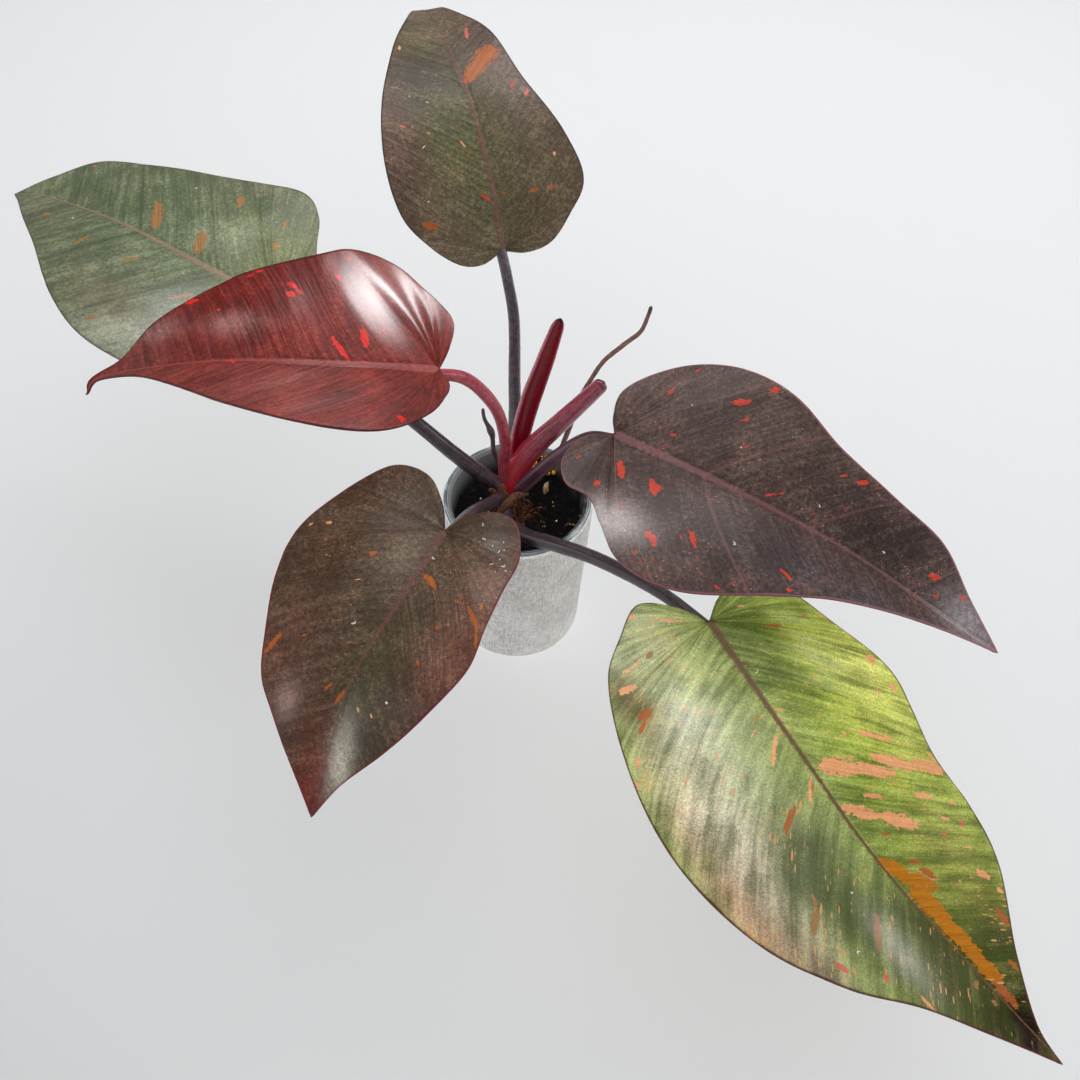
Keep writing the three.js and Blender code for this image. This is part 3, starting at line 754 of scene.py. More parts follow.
def stalk_tissue(dark, pale, stripe):
    """Petiole skin: satin, finely ribbed lengthways, with pale flecks and a line each side of its channel."""
    def paint_surface(paint):
        place = paint.place()
        along, upper = paint.held("along"), paint.held("upper")
        lanes = paint.noise(paint.unrolled(upper * 6, along * 5), 2.0, 3, 0.65)
        mottle = paint.noise(place, 420, 3, 0.7)
        base = (mottle * 0.5 + lanes * 0.6).step(0.42, 0.68).blend(dark, pale)
        lines = (1 - (upper - 0.66).size().step(0.02, 0.16)) * 0.6
        colour = lines.blend(base, stripe)
        dots = 1 - paint.spots(place, 800).step(0.12, 0.2)
        colour = (dots * mottle.step(0.45, 0.6) * 0.5).blend(colour, stripe)
        return {"Base Color": colour, "Roughness": 0.32 + mottle * 0.16, "Specular IOR Level": 0.4,
                "Coat Weight": 0.6, "Coat Roughness": 0.2,
                "Normal": bump(paint, lanes + mottle * 0.6, 0.0003, 0.7)}
    return paint_surface


STALK_LOOKS = {
    "top": (0x2c242a, 0x60545c, 0x80727a), "back_left": (0x1c161a, 0x4a363e, 0x86626a),
    "red": (0x8a1a2a, 0xb84c5a, 0xd8a4a8), "right": (0x2a1620, 0x5a3040, 0x84606e),
    "front_left": (0x221a20, 0x4c3e48, 0x74687a), "front_right": (0x1a1416, 0x42343a, 0x5e4e54),
}
for name, leaf in LEAVES.items():
    foot, tip = leaf["radius"]
    joint = forms[name].point(np.array([JOINT_REACH]), np.array([0.0]), 1, tip + JOINT_DROP)[0]
    points = smooth_curve([*leaf["stalk"], joint], STALK_STEPS)
    share = np.linspace(0, 1, len(points))
    radii = foot + (tip - foot) * share ** STALK_TAPER
    inward = np.array(leaf["stalk"][0]) - joint
    inward[2] = 0
    stalk = grow("stalk_" + name, [(points, rounded_ends(radii, points, 0.6))],
                 finish("stalk_skin_" + name, stalk_tissue(*STALK_LOOKS[name])), Sides=32,
                 Channel=STALK_CHANNEL, Facing=tuple(unit(inward) + (0, 0, 1)), Ridges=0.25 * MM, Spacing=240.0)
    dress(stalk, "petiole_" + name, "crimson_tissue" if name == "red" else "plum_stalk")


# Blades: each leaf's one thin blade, leathery and glossy, that unrolled from its sheath. Side veins
# arch out from a raised midrib, and the colour changes from patch to patch along them.

BLADE_THICKNESS = 0.9
RIB_THICKNESS = 3.2
VEIN_SLANT = 0.9
VEIN_ARCH = 0.12
BLADE_ROWS = 200
BLADE_COLUMNS = 62
MIDRIB_HEIGHT = 0.28
MIDRIB_WIDTH = 2.6
GROOVE_DEPTH = 0.22
KEEL_REACH = 2.4
PLEAT_HEIGHT = 0.3
GRAIN_ROWS = 320
TONES = "obsykr"

# What each leaf shows, in millimetres along and across it: its ground colour, how many side veins, its
# gloss, pleat height, soft washes of colour as (along, across, reach along, reach across, colour,
# strength) of which some pale ones are painted sheen, waxy spots and swells likewise with a strength or a
# height, and the strokes that its markings are made of as (from along, across, to along, across, width, tone).
MARKS = {
    "top": {
        "ground": 0x64543f, "veins": 6, "gloss": 0.06, "pleat": 0.2,
        "washes": [(60, 14, 55, 20, 0x586036, 0.75), (60, -16, 50, 18, 0x5c5a40, 0.6),
            (70, 44, 60, 16, 0x63493f, 0.8), (110, -28, 50, 16, 0x6b5450, 0.8), (150, 6, 30, 18, 0x78685c, 0.7),
            (10, 24, 22, 16, 0x7c6c56, 0.6), (120, 14, 30, 12, 0x605f3c, 0.6), (98, 18, 22, 16, 0x40362c, 0.8),
            (108, -4, 16, 14, 0x54463e, 0.6)],
        "strokes": [(93, -3, 104, -14, 8.6, "o"), (102, -13, 110, -20, 10.8, "o"), (20, 39, 18, 33, 3.5, "o"),
            (134, -13, 124, -11, 1.6, "k"), (87, -25, 81, -23, 1.2, "r"), (79, -31, 76, -29, 2, "k"),
            (126, 25, 122, 26, 1.1, "s"), (29, 6, 26, 3, 2, "r"), (28, -4, 28, -6, 1.6, "o"),
            (26, -17, 28, -24, 1.4, "o"), (27, -28, 27, -31, 1.8, "o"), (43, -35, 41, -35, 1.2, "s"),
            (50, 10, 48, 8, 1.4, "o"), (57, 11, 54, 9, 0.8, "s"), (82, 22, 81, 21, 1.1, "s"),
            (64, 26, 63, 24, 0.8, "s"), (22, 22, 21, 20, 0.8, "s"), (70, 38, 69, 36, 1.5, "k")],
    },
    "back_left": {
        "ground": 0x667053, "veins": 7, "gloss": 0.1, "pleat": 0.4, "waxy": [(50, 48, 40, 22, 0.6)],
        "washes": [(50, -30, 50, 26, 0x6e7856, 0.7), (15, -30, 26, 30, 0x848a58, 0.8),
            (50, 58, 26, 14, 0xa9ab98, 0.8), (70, 46, 30, 12, 0x84795d, 0.7), (110, 34, 40, 14, 0x6c7058, 0.6),
            (175, 14, 26, 14, 0x74705c, 0.7), (60, -60, 60, 10, 0x746f5c, 0.5),
            (30, -48, 18, 12, 0x58663e, 0.6)],
        "strokes": [(102, -21, 88, -7, 6.1, "b"), (61, -16, 53, -5, 5.3, "b"), (59, -16, 55, -12, 2.8, "b"),
            (65, -50, 60, -44, 4.1, "b"), (21, -34, 20, -28, 1.8, "y"), (26, -49, 24, -43, 1.4, "y"),
            (118, 27, 117, 18, 2.6, "b"), (83, 22, 77, 16, 2.6, "b"), (42, 28, 35, 19, 2.2, "b"),
            (165, 14, 161, 13, 2.3, "y"), (178, -33, 176, -32, 2.4, "k"), (186, 18, 182, 20, 2.9, "b"),
            (66, 62, 65, 57, 2.5, "b")],
    },
    "red": {
        "ground": 0x7a1a0e, "veins": 8, "gloss": 0.09, "pleat": 0.35,
        "waxy": [(22, -40, 24, 20, 1.2), (100, -21, 18, 8, 1.0), (144, -22, 14, 8, 0.9), (40, 24, 40, 14, 0.3)],
        "washes": [(40, -30, 40, 34, 0x6e2018, 0.7), (100, -30, 50, 24, 0x6a1610, 0.7),
            (70, 20, 70, 22, 0x84403a, 0.8), (20, 24, 20, 18, 0x6e2a28, 0.7), (150, -6, 30, 20, 0x74403a, 0.7),
            # The pink washes at (18, -44), (100, -21) and (144, -22) are painted sheen.
            (18, -44, 26, 18, 0x9c5a58, 0.7), (100, -21, 16, 6, 0xa87470, 0.7),
            (144, -22, 14, 6, 0xa47470, 0.7)],
        "strokes": [(136, -38, 127, -37, 3, "r"), (121, -46, 117, -46, 1.7, "r"),
            (102, -49, 100, -50, 1.7, "r"), (99, -52, 95, -52, 1.5, "r"), (80, -44, 75, -41, 2.4, "r"),
            (75, -41, 70, -37, 1.2, "o"), (79, -38, 74, -36, 2.6, "r"), (51, -14, 42, -2, 2.3, "r"),
            (35, -19, 34, -10, 3.2, "r"), (32, -23, 32, -22, 1.7, "r"), (51, -48, 48, -46, 2.1, "r"),
            (25, -21, 24, -18, 1.6, "r"), (36, -2, 34, -2, 1.3, "r"), (26, -4, 25, -3, 1.3, "r"),
            (26, 37, 25, 40, 2.7, "r"), (113, -30, 111, -29, 1.6, "r"), (42, -60, 41, -57, 1.5, "r"),
            (102, 0, 95, 1, 0.8, "r")],
    },
    "right": {
        "ground": 0x5a453e, "veins": 7, "gloss": 0.05, "waxy": [(28, -46, 18, 11, 0.5), (198, 3, 24, 12, 1.0)],
        "washes": [(60, 36, 60, 26, 0x5c483f, 0.7), (60, -30, 60, 26, 0x503d3a, 0.7),
            (140, 16, 40, 16, 0x4a3a36, 0.8), (130, -24, 50, 14, 0x60555a, 0.7), (6, 30, 18, 22, 0x6d534e, 0.7),
            # The pale washes at (34, -46) and (196, 3) are painted sheen.
            (34, -46, 14, 10, 0x9d8580, 0.7), (196, 3, 16, 10, 0xaca2a6, 0.85),
            (82, -26, 30, 14, 0x443634, 0.7), (140, 16, 26, 12, 0x382c2a, 0.7)],
        "strokes": [(43, 40, 50, 44, 3.4, "r"), (57, 54, 60, 57, 3.2, "r"), (14, -15, 20, -22, 3.5, "r"),
            (12, -33, 13, -30, 2.8, "r"), (33, -16, 39, -23, 3.3, "r"), (37, -20, 39, -18, 3.9, "r"),
            (49, -43, 53, -48, 2.8, "r"), (61, -32, 66, -40, 2.2, "r"), (46, -42, 48, -45, 1.3, "r"),
            (59, -37, 60, -39, 1.2, "r"), (48, -54, 49, -57, 1.2, "r"), (100, -30, 106, -33, 1.6, "r"),
            (105, -39, 108, -38, 1.6, "r"), (116, 31, 119, 34, 2.6, "r"), (107, 30, 110, 32, 1.1, "r"),
            (79, 3, 88, 10, 0.9, "r"), (52, 33, 55, 36, 1.5, "r"), (51, 29, 52, 30, 1.2, "r"),
            (25, 11, 28, 13, 1.2, "r"), (11, 30, 12, 35, 1.2, "r"), (16, 48, 17, 51, 1.3, "r"),
            (61, 21, 63, 24, 1.1, "r"), (165, 12, 170, 14, 2.8, "r"), (171, 5, 174, 6, 1.1, "r"),
            (184, 13, 188, 12, 1.4, "r"), (79, -53, 81, -53, 1.4, "r"), (-6, -23, -5, -21, 1.2, "r")],
    },
    "front_left": {
        "ground": 0x594638, "veins": 6, "gloss": 0.06,
        "waxy": [(118, 7, 16, 6, 1.0), (102, -25, 9, 6, 1.0), (-3, 23, 11, 7, 0.8), (4, -24, 14, 10, 0.7)],
        "swells": [(98, -40, 12, 9, 2.6), (72, -50, 14, 10, -1.2)],
        "washes": [(30, -30, 40, 26, 0x5d4c3c, 0.7), (80, 8, 30, 12, 0x5c5a3c, 0.7),
            # The pale washes at (118, 7) and (102, -25) are painted sheen.
            (118, 7, 16, 7, 0xd8d0b8, 0.95), (102, -25, 8, 5, 0xb8897c, 0.7), (118, -10, 26, 12, 0x74402e, 0.7),
            (84, -40, 24, 16, 0x7a5244, 0.8), (50, 44, 40, 12, 0x76453a, 0.8), (10, -44, 36, 18, 0x553820, 0.8),
            (20, -8, 20, 10, 0x80705e, 0.6), (146, 0, 12, 8, 0x581c14, 0.9), (132, -3, 12, 6, 0xa85a4c, 0.8),
            (140, -8, 12, 6, 0x8a2c24, 0.7), (45, 34, 24, 14, 0x86604f, 0.6), (100, 14, 14, 8, 0x4e4028, 0.7)],
        "strokes": [(26, 5, 31, 14, 2.8, "o"), (34, 27, 34, 31, 1.6, "o"), (35, 34, 41, 43, 1.8, "o"),
            (42, 43, 48, 47, 1.1, "o"), (32, 39, 34, 40, 1.6, "o"), (88, -43, 80, -41, 2.6, "o"),
            (76, -31, 75, -29, 1.6, "o"), (28, -24, 25, -22, 2.3, "o"), (21, -51, 20, -49, 1.5, "s"),
            (26, -58, 24, -57, 1.2, "s"), (37, -43, 36, -40, 0.8, "s"), (42, -23, 41, -21, 0.9, "s"),
            (68, -4, 66, -1, 0.9, "s"), (62, 26, 63, 28, 1.4, "o"), (46, 24, 47, 26, 1.4, "o"),
            (50, 35, 50, 37, 1.4, "o"), (92, 8, 93, 10, 1.3, "s"), (92, 16, 93, 17, 1.5, "s"),
            (91, -10, 87, -7, 1.2, "o"), (95, -3, 88, -1, 1.5, "o"), (78, 30, 78, 31, 0.9, "s")],
    },
    "front_right": {
        "ground": 0x8a9a48, "veins": 8, "gloss": 0.05, "pleat": 0.45,
        "waxy": [(74, -36, 40, 14, 0.4), (168, -22, 24, 6, 1.2), (-6, -40, 14, 16, 0.7), (34, 34, 16, 5, 0.4)],
        "washes": [(70, 38, 70, 34, 0x9ca83e, 0.9), (62, 50, 34, 16, 0xc4c668, 0.8),
            (34, 12, 30, 14, 0x485808, 0.95), (110, 12, 44, 10, 0x74862a, 0.85),
            # The pale grey-green wash at (70, -36) is partly the left half's own colour and partly painted
            # sheen; the pale washes at (92, -50) and (160, -20) are painted sheen.
            (160, 26, 34, 16, 0x8c8c3e, 0.9), (70, -36, 70, 30, 0xa9ae88, 0.9),
            (92, -50, 40, 15, 0xd6cab2, 0.9), (114, -34, 12, 12, 0x404820, 0.8),
            (120, -26, 34, 14, 0x4c5428, 0.9), (146, -20, 24, 14, 0x3e4818, 0.9),
            (80, -10, 30, 8, 0x6a7440, 0.7), (120, -64, 46, 9, 0xb08468, 0.7), (26, -55, 20, 10, 0x5c4a1c, 0.9),
            (2, -30, 20, 14, 0xb4b480, 0.8), (214, 2, 36, 40, 0x2c2404, 1.1),
            (184, -14, 18, 12, 0x34300c, 0.95), (140, -54, 26, 9, 0x7a6656, 0.8),
            (172, -4, 26, 8, 0x33300a, 1.0), (198, 14, 20, 10, 0x40440a, 0.9),
            (160, -20, 16, 9, 0x909070, 0.6)],
        "strokes": [(-16, -35, -15, -31, 2.2, "s"), (-10, -23, -5, -13, 1.4, "s"), (14, 22, 17, 28, 1.7, "o"),
            (-1, 16, 0, 18, 1.2, "s"), (15, 40, 16, 43, 0.9, "k"), (17, 48, 19, 50, 1.1, "s"),
            (11, -51, 11, -47, 1.8, "s"), (11, -47, 7, -40, 1.2, "s"), (8, -37, 6, -34, 2.4, "b"),
            (21, -57, 20, -50, 3.6, "s"), (35, -55, 34, -49, 3.4, "o"), (38, -54, 42, -59, 1.6, "o"),
            (33, -45, 32, -44, 1.3, "s"), (54, -67, 51, -64, 1.7, "s"), (58, -70, 62, -71, 1.3, "s"),
            (46, -43, 44, -40, 0.9, "s"), (62, -16, 59, -11, 1.1, "s"), (55, -9, 54, -6, 1.1, "y"),
            (64, -35, 63, -33, 1.3, "s"), (68, -54, 64, -49, 0.8, "s"), (73, -59, 72, -57, 1.1, "s"),
            (76, -15, 64, -4, 1.6, "s"), (99, -29, 93, -17, 2.3, "o"), (95, -10, 89, -3, 1.6, "b"),
            (24, 7, 27, 11, 0.8, "y"), (63, 19, 65, 23, 0.8, "s"), (73, 12, 75, 16, 0.9, "s"),
            (78, 15, 81, 21, 0.9, "s"), (77, 21, 80, 23, 1.1, "s"), (85, 5, 94, 15, 7.2, "s"),
            (93, 16, 106, 30, 5, "s"), (94, 27, 112, 42, 4.9, "s"), (109, 43, 124, 54, 6.2, "s"),
            (105, 2, 117, 13, 4.9, "s"), (117, 14, 131, 24, 5.4, "s"), (81, 28, 92, 40, 2.6, "s"),
            (105, 12, 112, 20, 1.7, "s"), (121, 33, 129, 40, 2.5, "s"), (136, 45, 141, 49, 1.4, "s"),
            (138, 37, 142, 40, 1.3, "s"), (147, 43, 149, 44, 2.6, "k"), (143, 32, 145, 34, 1.6, "k"),
            (163, 46, 164, 46, 2, "k"), (167, 33, 174, 36, 2.9, "s"), (131, 1, 143, 6, 5.7, "y"),
            (144, 5, 155, 12, 7.1, "y"), (149, 4, 170, 6, 7.4, "y"), (166, 4, 188, 6, 6.4, "y"),
            (184, 4, 203, 5, 5.4, "y"), (200, 3, 214, 3, 3.6, "o"), (146, 13, 152, 15, 3.1, "o"),
            (123, 9, 126, 12, 1.4, "o"), (140, 11, 143, 14, 1.7, "o"), (185, 28, 193, 27, 3, "o"),
            (180, 36, 183, 36, 2.1, "s"), (201, 15, 207, 15, 2.2, "o"), (88, -3, 95, -10, 1.9, "s"),
            (120, -34, 125, -37, 1.5, "b"), (125, -37, 130, -45, 2.7, "b"), (144, -18, 152, -27, 3.1, "b"),
            (143, -46, 148, -44, 2.2, "k"), (159, -33, 162, -33, 2.2, "k"), (106, -23, 108, -24, 1.5, "b"),
            (116, -19, 117, -20, 1.5, "b"), (193, -4, 195, -5, 2.4, "b"), (204, -4, 206, -4, 2.2, "b"),
            (48, 55, 52, 56, 3.9, "s"), (66, 56, 71, 57, 2.5, "s"), (66, 48, 69, 49, 1.8, "s"),
            (109, 53, 121, 56, 1.6, "s"), (87, 15, 90, 19, 1.2, "s"), (175, -27, 186, -27, 1.1, "s"),
            (156, 36, 159, 39, 1.1, "s"), (163, 23, 164, 23, 1.5, "s"), (173, 26, 174, 27, 1.5, "s")],
    },
}


def bumps(spots, x, across):
    """The sum of soft bumps given as along, across, reach along, reach across and height."""
    total = np.zeros(x.shape)
    for spot_x, spot_y, reach_x, reach_y, height in spots:
        total += height * np.exp(-((x - spot_x) / reach_x) ** 2 - ((across - spot_y) / reach_y) ** 2)
    return total


def washed(marks, x, across):
    """The ground colour with the washes over it, each fading out unevenly."""
    colour = np.broadcast_to(pigment(marks["ground"])[:3], x.shape + (3,))
    drift = value_noise(np.stack([x, across], -1) + 90, 14, 5) * 0.25
    for wash_x, wash_y, reach_x, reach_y, code, strength in marks["washes"]:
        far = ((x - wash_x) / reach_x) ** 2 + ((across - wash_y) / reach_y) ** 2
        weight = (strength * np.exp(-far * 0.9 + drift).clip(0, 1))[..., None]
        colour = colour * (1 - weight) + np.array(pigment(code)[:3]) * weight
    return colour


def stroked(strokes, x, across):
    """How deep a point lies in its nearest stroke, and that stroke's tone and how far its edge frays."""
    flat = np.stack([x, across], -1)
    patch, tone, fray = np.full(x.shape, -3.0), np.zeros(x.shape), np.zeros(x.shape)
    for x0, y0, x1, y1, width, letter in strokes:
        start, run = np.array([x0, y0]), np.array([x1 - x0, y1 - y0])
        share = np.clip(((flat - start) @ run) / max(run @ run, 1e-6), 0, 1)
        gap = np.linalg.norm(flat - start - share[..., None] * run, axis=-1)
        depth = width / 2 * (1.08 - 0.5 * (2 * share - 1) ** 2) - gap
        nearer = depth > patch
        tone = np.where(nearer, TONES.index(letter) / (len(TONES) - 1), tone)
        fray = np.where(nearer, width / 2, fray)
        patch = np.maximum(patch, depth)
    return {"patch": patch, "tone": tone, "fray": fray}


def hold(mesh, key, values):
    """Keeps a number at each point of the mesh, for its material to read."""
    mesh.attributes.new(key, "FLOAT", "POINT").data.foreach_set("value", values.astype(np.float32))


def blade_mesh(name):
    """A leaf's blade as a fine closed mesh, with what its material reads held at each point."""
    leaf, form, marks = LEAVES[name], forms[name], MARKS[name]
    length = form.length
    margins = [smooth_curve(leaf[half], BLADE_ROWS) for half in ("left", "right")]
    foot = np.maximum(0, sum(m[:, 0] - VEIN_SLANT * m[:, 1] for m in margins) / 2)
    way = np.linspace(0, 1, BLADE_ROWS + 1)[:, None]
    share = (np.linspace(0, 1, BLADE_COLUMNS + 1) ** 1.15)[None, :]
    height, count, phase = leaf["wave"]
    rank = marks["veins"] * way ** 0.9
    columns = BLADE_COLUMNS + 1
    layer = (BLADE_ROWS + 1) * columns
    i, j = np.meshgrid(np.arange(BLADE_ROWS), np.arange(BLADE_COLUMNS), indexing="ij")
    places, faces, washes, fields = [], [], [], {}
    for half, (side, margin) in enumerate(zip((1, -1), margins)):
        vein_length = np.hypot(margin[:, 0] - foot, margin[:, 1])[:, None]
        x = foot[:, None] + (margin[:, :1] - foot[:, None]) * share
        x = x - VEIN_ARCH * vein_length * share * (1 - share) * np.sin(np.pi * way) ** 0.5
        y = margin[:, 1:] * share
        crest = height * np.sin(np.pi * way) * np.sin(2 * np.pi * count * way + phase + half) * share**2
        pleat = (marks.get("pleat", PLEAT_HEIGHT) * np.cos(2 * np.pi * rank)
                 * np.sin(np.pi * np.clip(share, 0, 1)) ** 0.8 * np.sin(np.pi * way) ** 0.5)
        rib_width = MIDRIB_WIDTH * (1 - 0.7 * np.clip(x / length, 0, 1))
        ridge = MIDRIB_HEIGHT * (1 - x / length) * np.exp(-(y / (rib_width * 0.45)) ** 2)
        groove = GROOVE_DEPTH * np.exp(-((y - rib_width * 0.9) / (rib_width * 0.35)) ** 2)
        relief = crest + pleat + ridge - groove + bumps(marks.get("swells", ()), x, side * y)
        keel = (RIB_THICKNESS - BLADE_THICKNESS) * (1 - np.sqrt(np.clip(foot / length, 0, 1)))[:, None]
        thickness = BLADE_THICKNESS + keel * np.exp(-(y / KEEL_REACH) ** 2)
        start = 2 * half * layer
        places += [form.point(x, y, side, depth).reshape(-1, 3) for depth in (-relief, thickness - relief)]
        washes += [washed(marks, x, side * y).reshape(-1, 3)] * 2
        values = {"across": y, "along": x / length, "vein": vein_length * share, "row": way * GRAIN_ROWS,
                  "inset": (1 - share) * vein_length, "rank": rank, **stroked(marks["strokes"], x, side * y),
                  "gloss": marks["gloss"] + bumps(marks.get("waxy", ()), x, side * y)}
        for key, value in values.items():
            fields.setdefault(key, []).extend([np.broadcast_to(value, x.shape).ravel()] * 2)
        corner = start + i * columns + j
        top_face = np.stack([corner, corner + columns, corner + columns + 1, corner + 1], -1).reshape(-1, 4)
        edge = start + np.arange(BLADE_ROWS) * columns + BLADE_COLUMNS
        faces += [top_face, top_face[:, ::-1] + layer,
                  np.stack([edge, edge + columns, edge + columns + layer, edge + layer], -1)]
    mesh = mesh_of("leaf_" + name, np.concatenate(places), np.concatenate(faces).tolist())
    for key, parts in fields.items():
        hold(mesh, key, np.concatenate(parts))
    washes = np.concatenate(washes)
    colours = np.hstack([washes, np.ones((len(washes), 1))]).astype(np.float32)
    mesh.attributes.new("wash", "FLOAT_COLOR", "POINT").data.foreach_set("color", colours.ravel())
    return mesh


def leaf_skin(look):
    """A blade's surface: washes of colour, streaks along the veins, patches, flecks and a margin line."""
    def paint_surface(paint):
        place = paint.place()
        row, vein, across = paint.held("row"), paint.held("vein"), paint.held("across")
        bands = paint.noise(paint.unrolled(row * 0.2, vein * 0.02), 1.0, 2, 0.6)
        fibre = paint.noise(paint.unrolled(row * 1.1, vein * 0.07), 1.0, 2, 0.7)
        grain = paint.noise(place, 1500, 2, 0.7)
        mottle = paint.noise(place, 520, 2, 0.65)
        cloud = paint.noise(place, 55, 2, 0.55)
        colour = paint.held("wash", 0)
        streaky = look["streaky"]
        light = (bands * streaky + mottle * (0.7 - streaky) + cloud * 0.35 + grain * 0.25).step(0.62, 0.84)
        colour = (light * look["streak"]).blend(colour, look["pale"]).scaled(1 + light * 0.4)
        dull = 1 - (bands * streaky + mottle * (0.6 - streaky) + cloud * 0.4 + grain * 0.2).step(0.44, 0.64)
        colour = (dull * look["shade"]).blend(colour, look["deep"])
        uneven = fibre * streaky + grain * 1.2 + mottle * (1.8 - streaky * 2) - 0.5 + streaky / 2
        colour = colour.scaled(uneven * look["depth"])
        nerve = (paint.math("FRACT", paint.held("rank") + 0.5) - 0.5).size()
        main_vein = (1 - nerve.step(0.004, 0.028)) * (bands + 0.35)
        colour = (main_vein * look["vein_strength"]).blend(colour, look["vein"])
        cells = paint.spots(paint.unrolled(row * 0.6, vein * 0.13), 1.0)
        dots = cells + (0.5 - cloud) * 0.9 + (fibre - 0.5) * 0.3
        fleck = 1 - dots.step(look["flecks"], look["flecks"] + 0.05)
        colour = (fleck * 0.85).blend(colour, look["fleck"])
        stops = [(k / (len(TONES) - 1), pigment(code)) for k, code in enumerate(look["tones"])]
        tint = paint.node("ShaderNodeValToRGB", {"stops": stops}, {0: paint.held("tone")})
        tint = tint.scaled(0.5 + bands * 0.3 + grain * 0.35 + mottle * 0.35)
        edge_noise = (fibre - 0.5) * 1.7 + (mottle - 0.5) * 1.7 + (grain - 0.5) * 0.5
        mask = (paint.held("patch") + paint.held("fray") * edge_noise).step(-0.2, 0.12)
        colour = (mask * 0.94).blend(colour, tint)
        half_rib = 0.5 + 2.2 * (1 - paint.held("along")) ** 2.4
        rib = 1 - ((across + (mottle - 0.5) * 1.1) / half_rib).step(0.3, 1.25)
        colour = (rib * look["rib_strength"]).blend(colour, look["rib"])
        rim = 1 - (paint.held("inset") + (cloud - 0.5) * 1.2).step(0.35, 1.2)
        colour = (rim * 0.8).blend(colour, look["margin"])
        grit = 1 - paint.spots(place, 420).step(0.10, 0.16)
        colour = (grit * (cloud - 0.35).step(0.1, 0.3) * look["dust"]).blend(colour, 0xd8d0c8)
        relief = bands.step(0.3, 0.7) * 0.7 + fibre * 0.4
        return {"Base Color": colour, "Roughness": 0.36 + fibre * 0.14 + mottle * 0.1,
                "Specular IOR Level": look["shine"], "Coat Weight": paint.held("gloss") * (1 - rib * 0.7),
                "Coat Roughness": look["satin"], "Coat IOR": 1.85,
                "Normal": bump(paint, relief, look["ripple"])}
    return paint_surface


# The colours of a leaf's markings by tone: orange, brown, salmon, yellow-orange, pink and red.
ORANGE_TONES = (0xa85a28, 0x9a7040, 0xe6a070, 0xb8700c, 0xc86858, 0xc03a22)
RUST_TONES = (0xc4522c, 0x9a5038, 0xc05a3c, 0xb8641a, 0xc04a4c, 0xc23a22)
SCARLET_TONES = (0xe0281a,) * len(TONES)
LOOK_COLUMNS = ("pale", "deep", "fleck", "rib", "margin", "vein", "tones",
                "streak", "shade", "flecks", "depth", "rib_strength", "vein_strength", "shine", "satin",
                "ripple", "dust", "streaky")
LEAF_LOOKS = {
    "top": (0x8c7f68, 0x3a2c26, 0xa06a48, 0x7a4c48, 0x382a2e, 0x8c8270, ORANGE_TONES,
            0.2, 0.35, 0.05, 0.9, 0.5, 0.15, 0.2, 0.3, 0.0005, 0.3, 0.3),
    "back_left": (0x8d9378, 0x3e4a34, 0x98855a, 0x9a7a62, 0x5a4a44, 0x3c4632, ORANGE_TONES,
                  0.4, 0.5, 0.06, 0.93, 0.7, 0.5, 0.25, 0.28, 0.0005, 0.3, 0.42),
    "red": (0x94443a, 0x40100c, 0xa03020, 0x9c4c4a, 0x4a1018, 0x94504a, SCARLET_TONES,
            0.3, 0.6, 0.02, 1.0, 0.6, 0.2, 0.3, 0.2, 0.0005, 0.06, 0.42),
    "right": (0x7a6660, 0x2e2220, 0x9a4a3a, 0x8a5058, 0x94606a, 0x8a5c5c, RUST_TONES,
              0.3, 0.45, 0.035, 0.73, 0.45, 0.35, 0.15, 0.25, 0.0004, 0.35, 0.3),
    "front_left": (0x84745e, 0x30221a, 0xa0603c, 0x744a46, 0x742c32, 0x6e6050, ORANGE_TONES,
                   0.25, 0.4, 0.045, 0.8, 0.5, 0.3, 0.15, 0.22, 0.0005, 0.3, 0.34),
    "front_right": (0xd0d890, 0x34460e, 0xd8a060, 0x664c38, 0x5a2228, 0x9aa060, ORANGE_TONES,
                    0.07, 0.65, 0.12, 1.12, 0.95, 0.2, 0.1, 0.24, 0.0007, 0.3, 0.6),
}
LEAF_SLOTS = {"top": "bronze_leaf", "back_left": "grey_green_leaf", "red": "red_leaf", "right": "purple_leaf",
              "front_left": "bronze_leaf", "front_right": "green_orange_leaf"}
for name in LEAVES:
    look = dict(zip(LOOK_COLUMNS, LEAF_LOOKS[name]))
    blade = finished_piece("leaf_" + name, blade_mesh(name), finish("leaf_skin_" + name, leaf_skin(look)))
    dress(blade, "blade_" + name, LEAF_SLOTS[name])


# Crown: a short stem, a rolled new leaf still tight in its crimson sheath, the open sheath that let
# the red leaf go, two aerial roots, brown papery scales and a tangle of rootlets at the soil.


def crown_tissue(dark, pale, gloss=0.3, tip=None, seam=None, foot=None):
    """Young sheath tissue: fleshy, glossy and finely streaked lengthways, darker at its tip and seam."""
    def paint_surface(paint):
        place = paint.place()
        along, upper = paint.held("along"), paint.held("upper")
        lanes = paint.noise(paint.unrolled(upper * 9, along * 2.2), 2.2, 4, 0.65)
        mottle = paint.noise(place, 500, 3, 0.6)
        colour = (lanes * 0.8 + mottle * 0.25).step(0.42, 0.64).blend(dark, pale)
        if foot:
            colour = ((1 - (along + (lanes - 0.5) * 0.2).step(0.05, 0.55)) * 0.85).blend(colour, foot)
        if seam:
            turn = paint.held("turn")
            line = (1 - turn.step(0.0, 0.035)).most(turn.step(0.965, 1.0))
            colour = (line * 0.85).blend(colour, seam)
        if tip:
            colour = ((along + (mottle - 0.5) * 0.02).step(0.955, 0.985) * 0.9).blend(colour, tip)
        return {"Base Color": colour, "Roughness": gloss + mottle * 0.12, "Specular IOR Level": 0.4,
                "Coat Weight": 0.8, "Coat Roughness": 0.14,
                "Normal": bump(paint, lanes + mottle * 0.5, 0.0004, 0.7)}
    return paint_surface


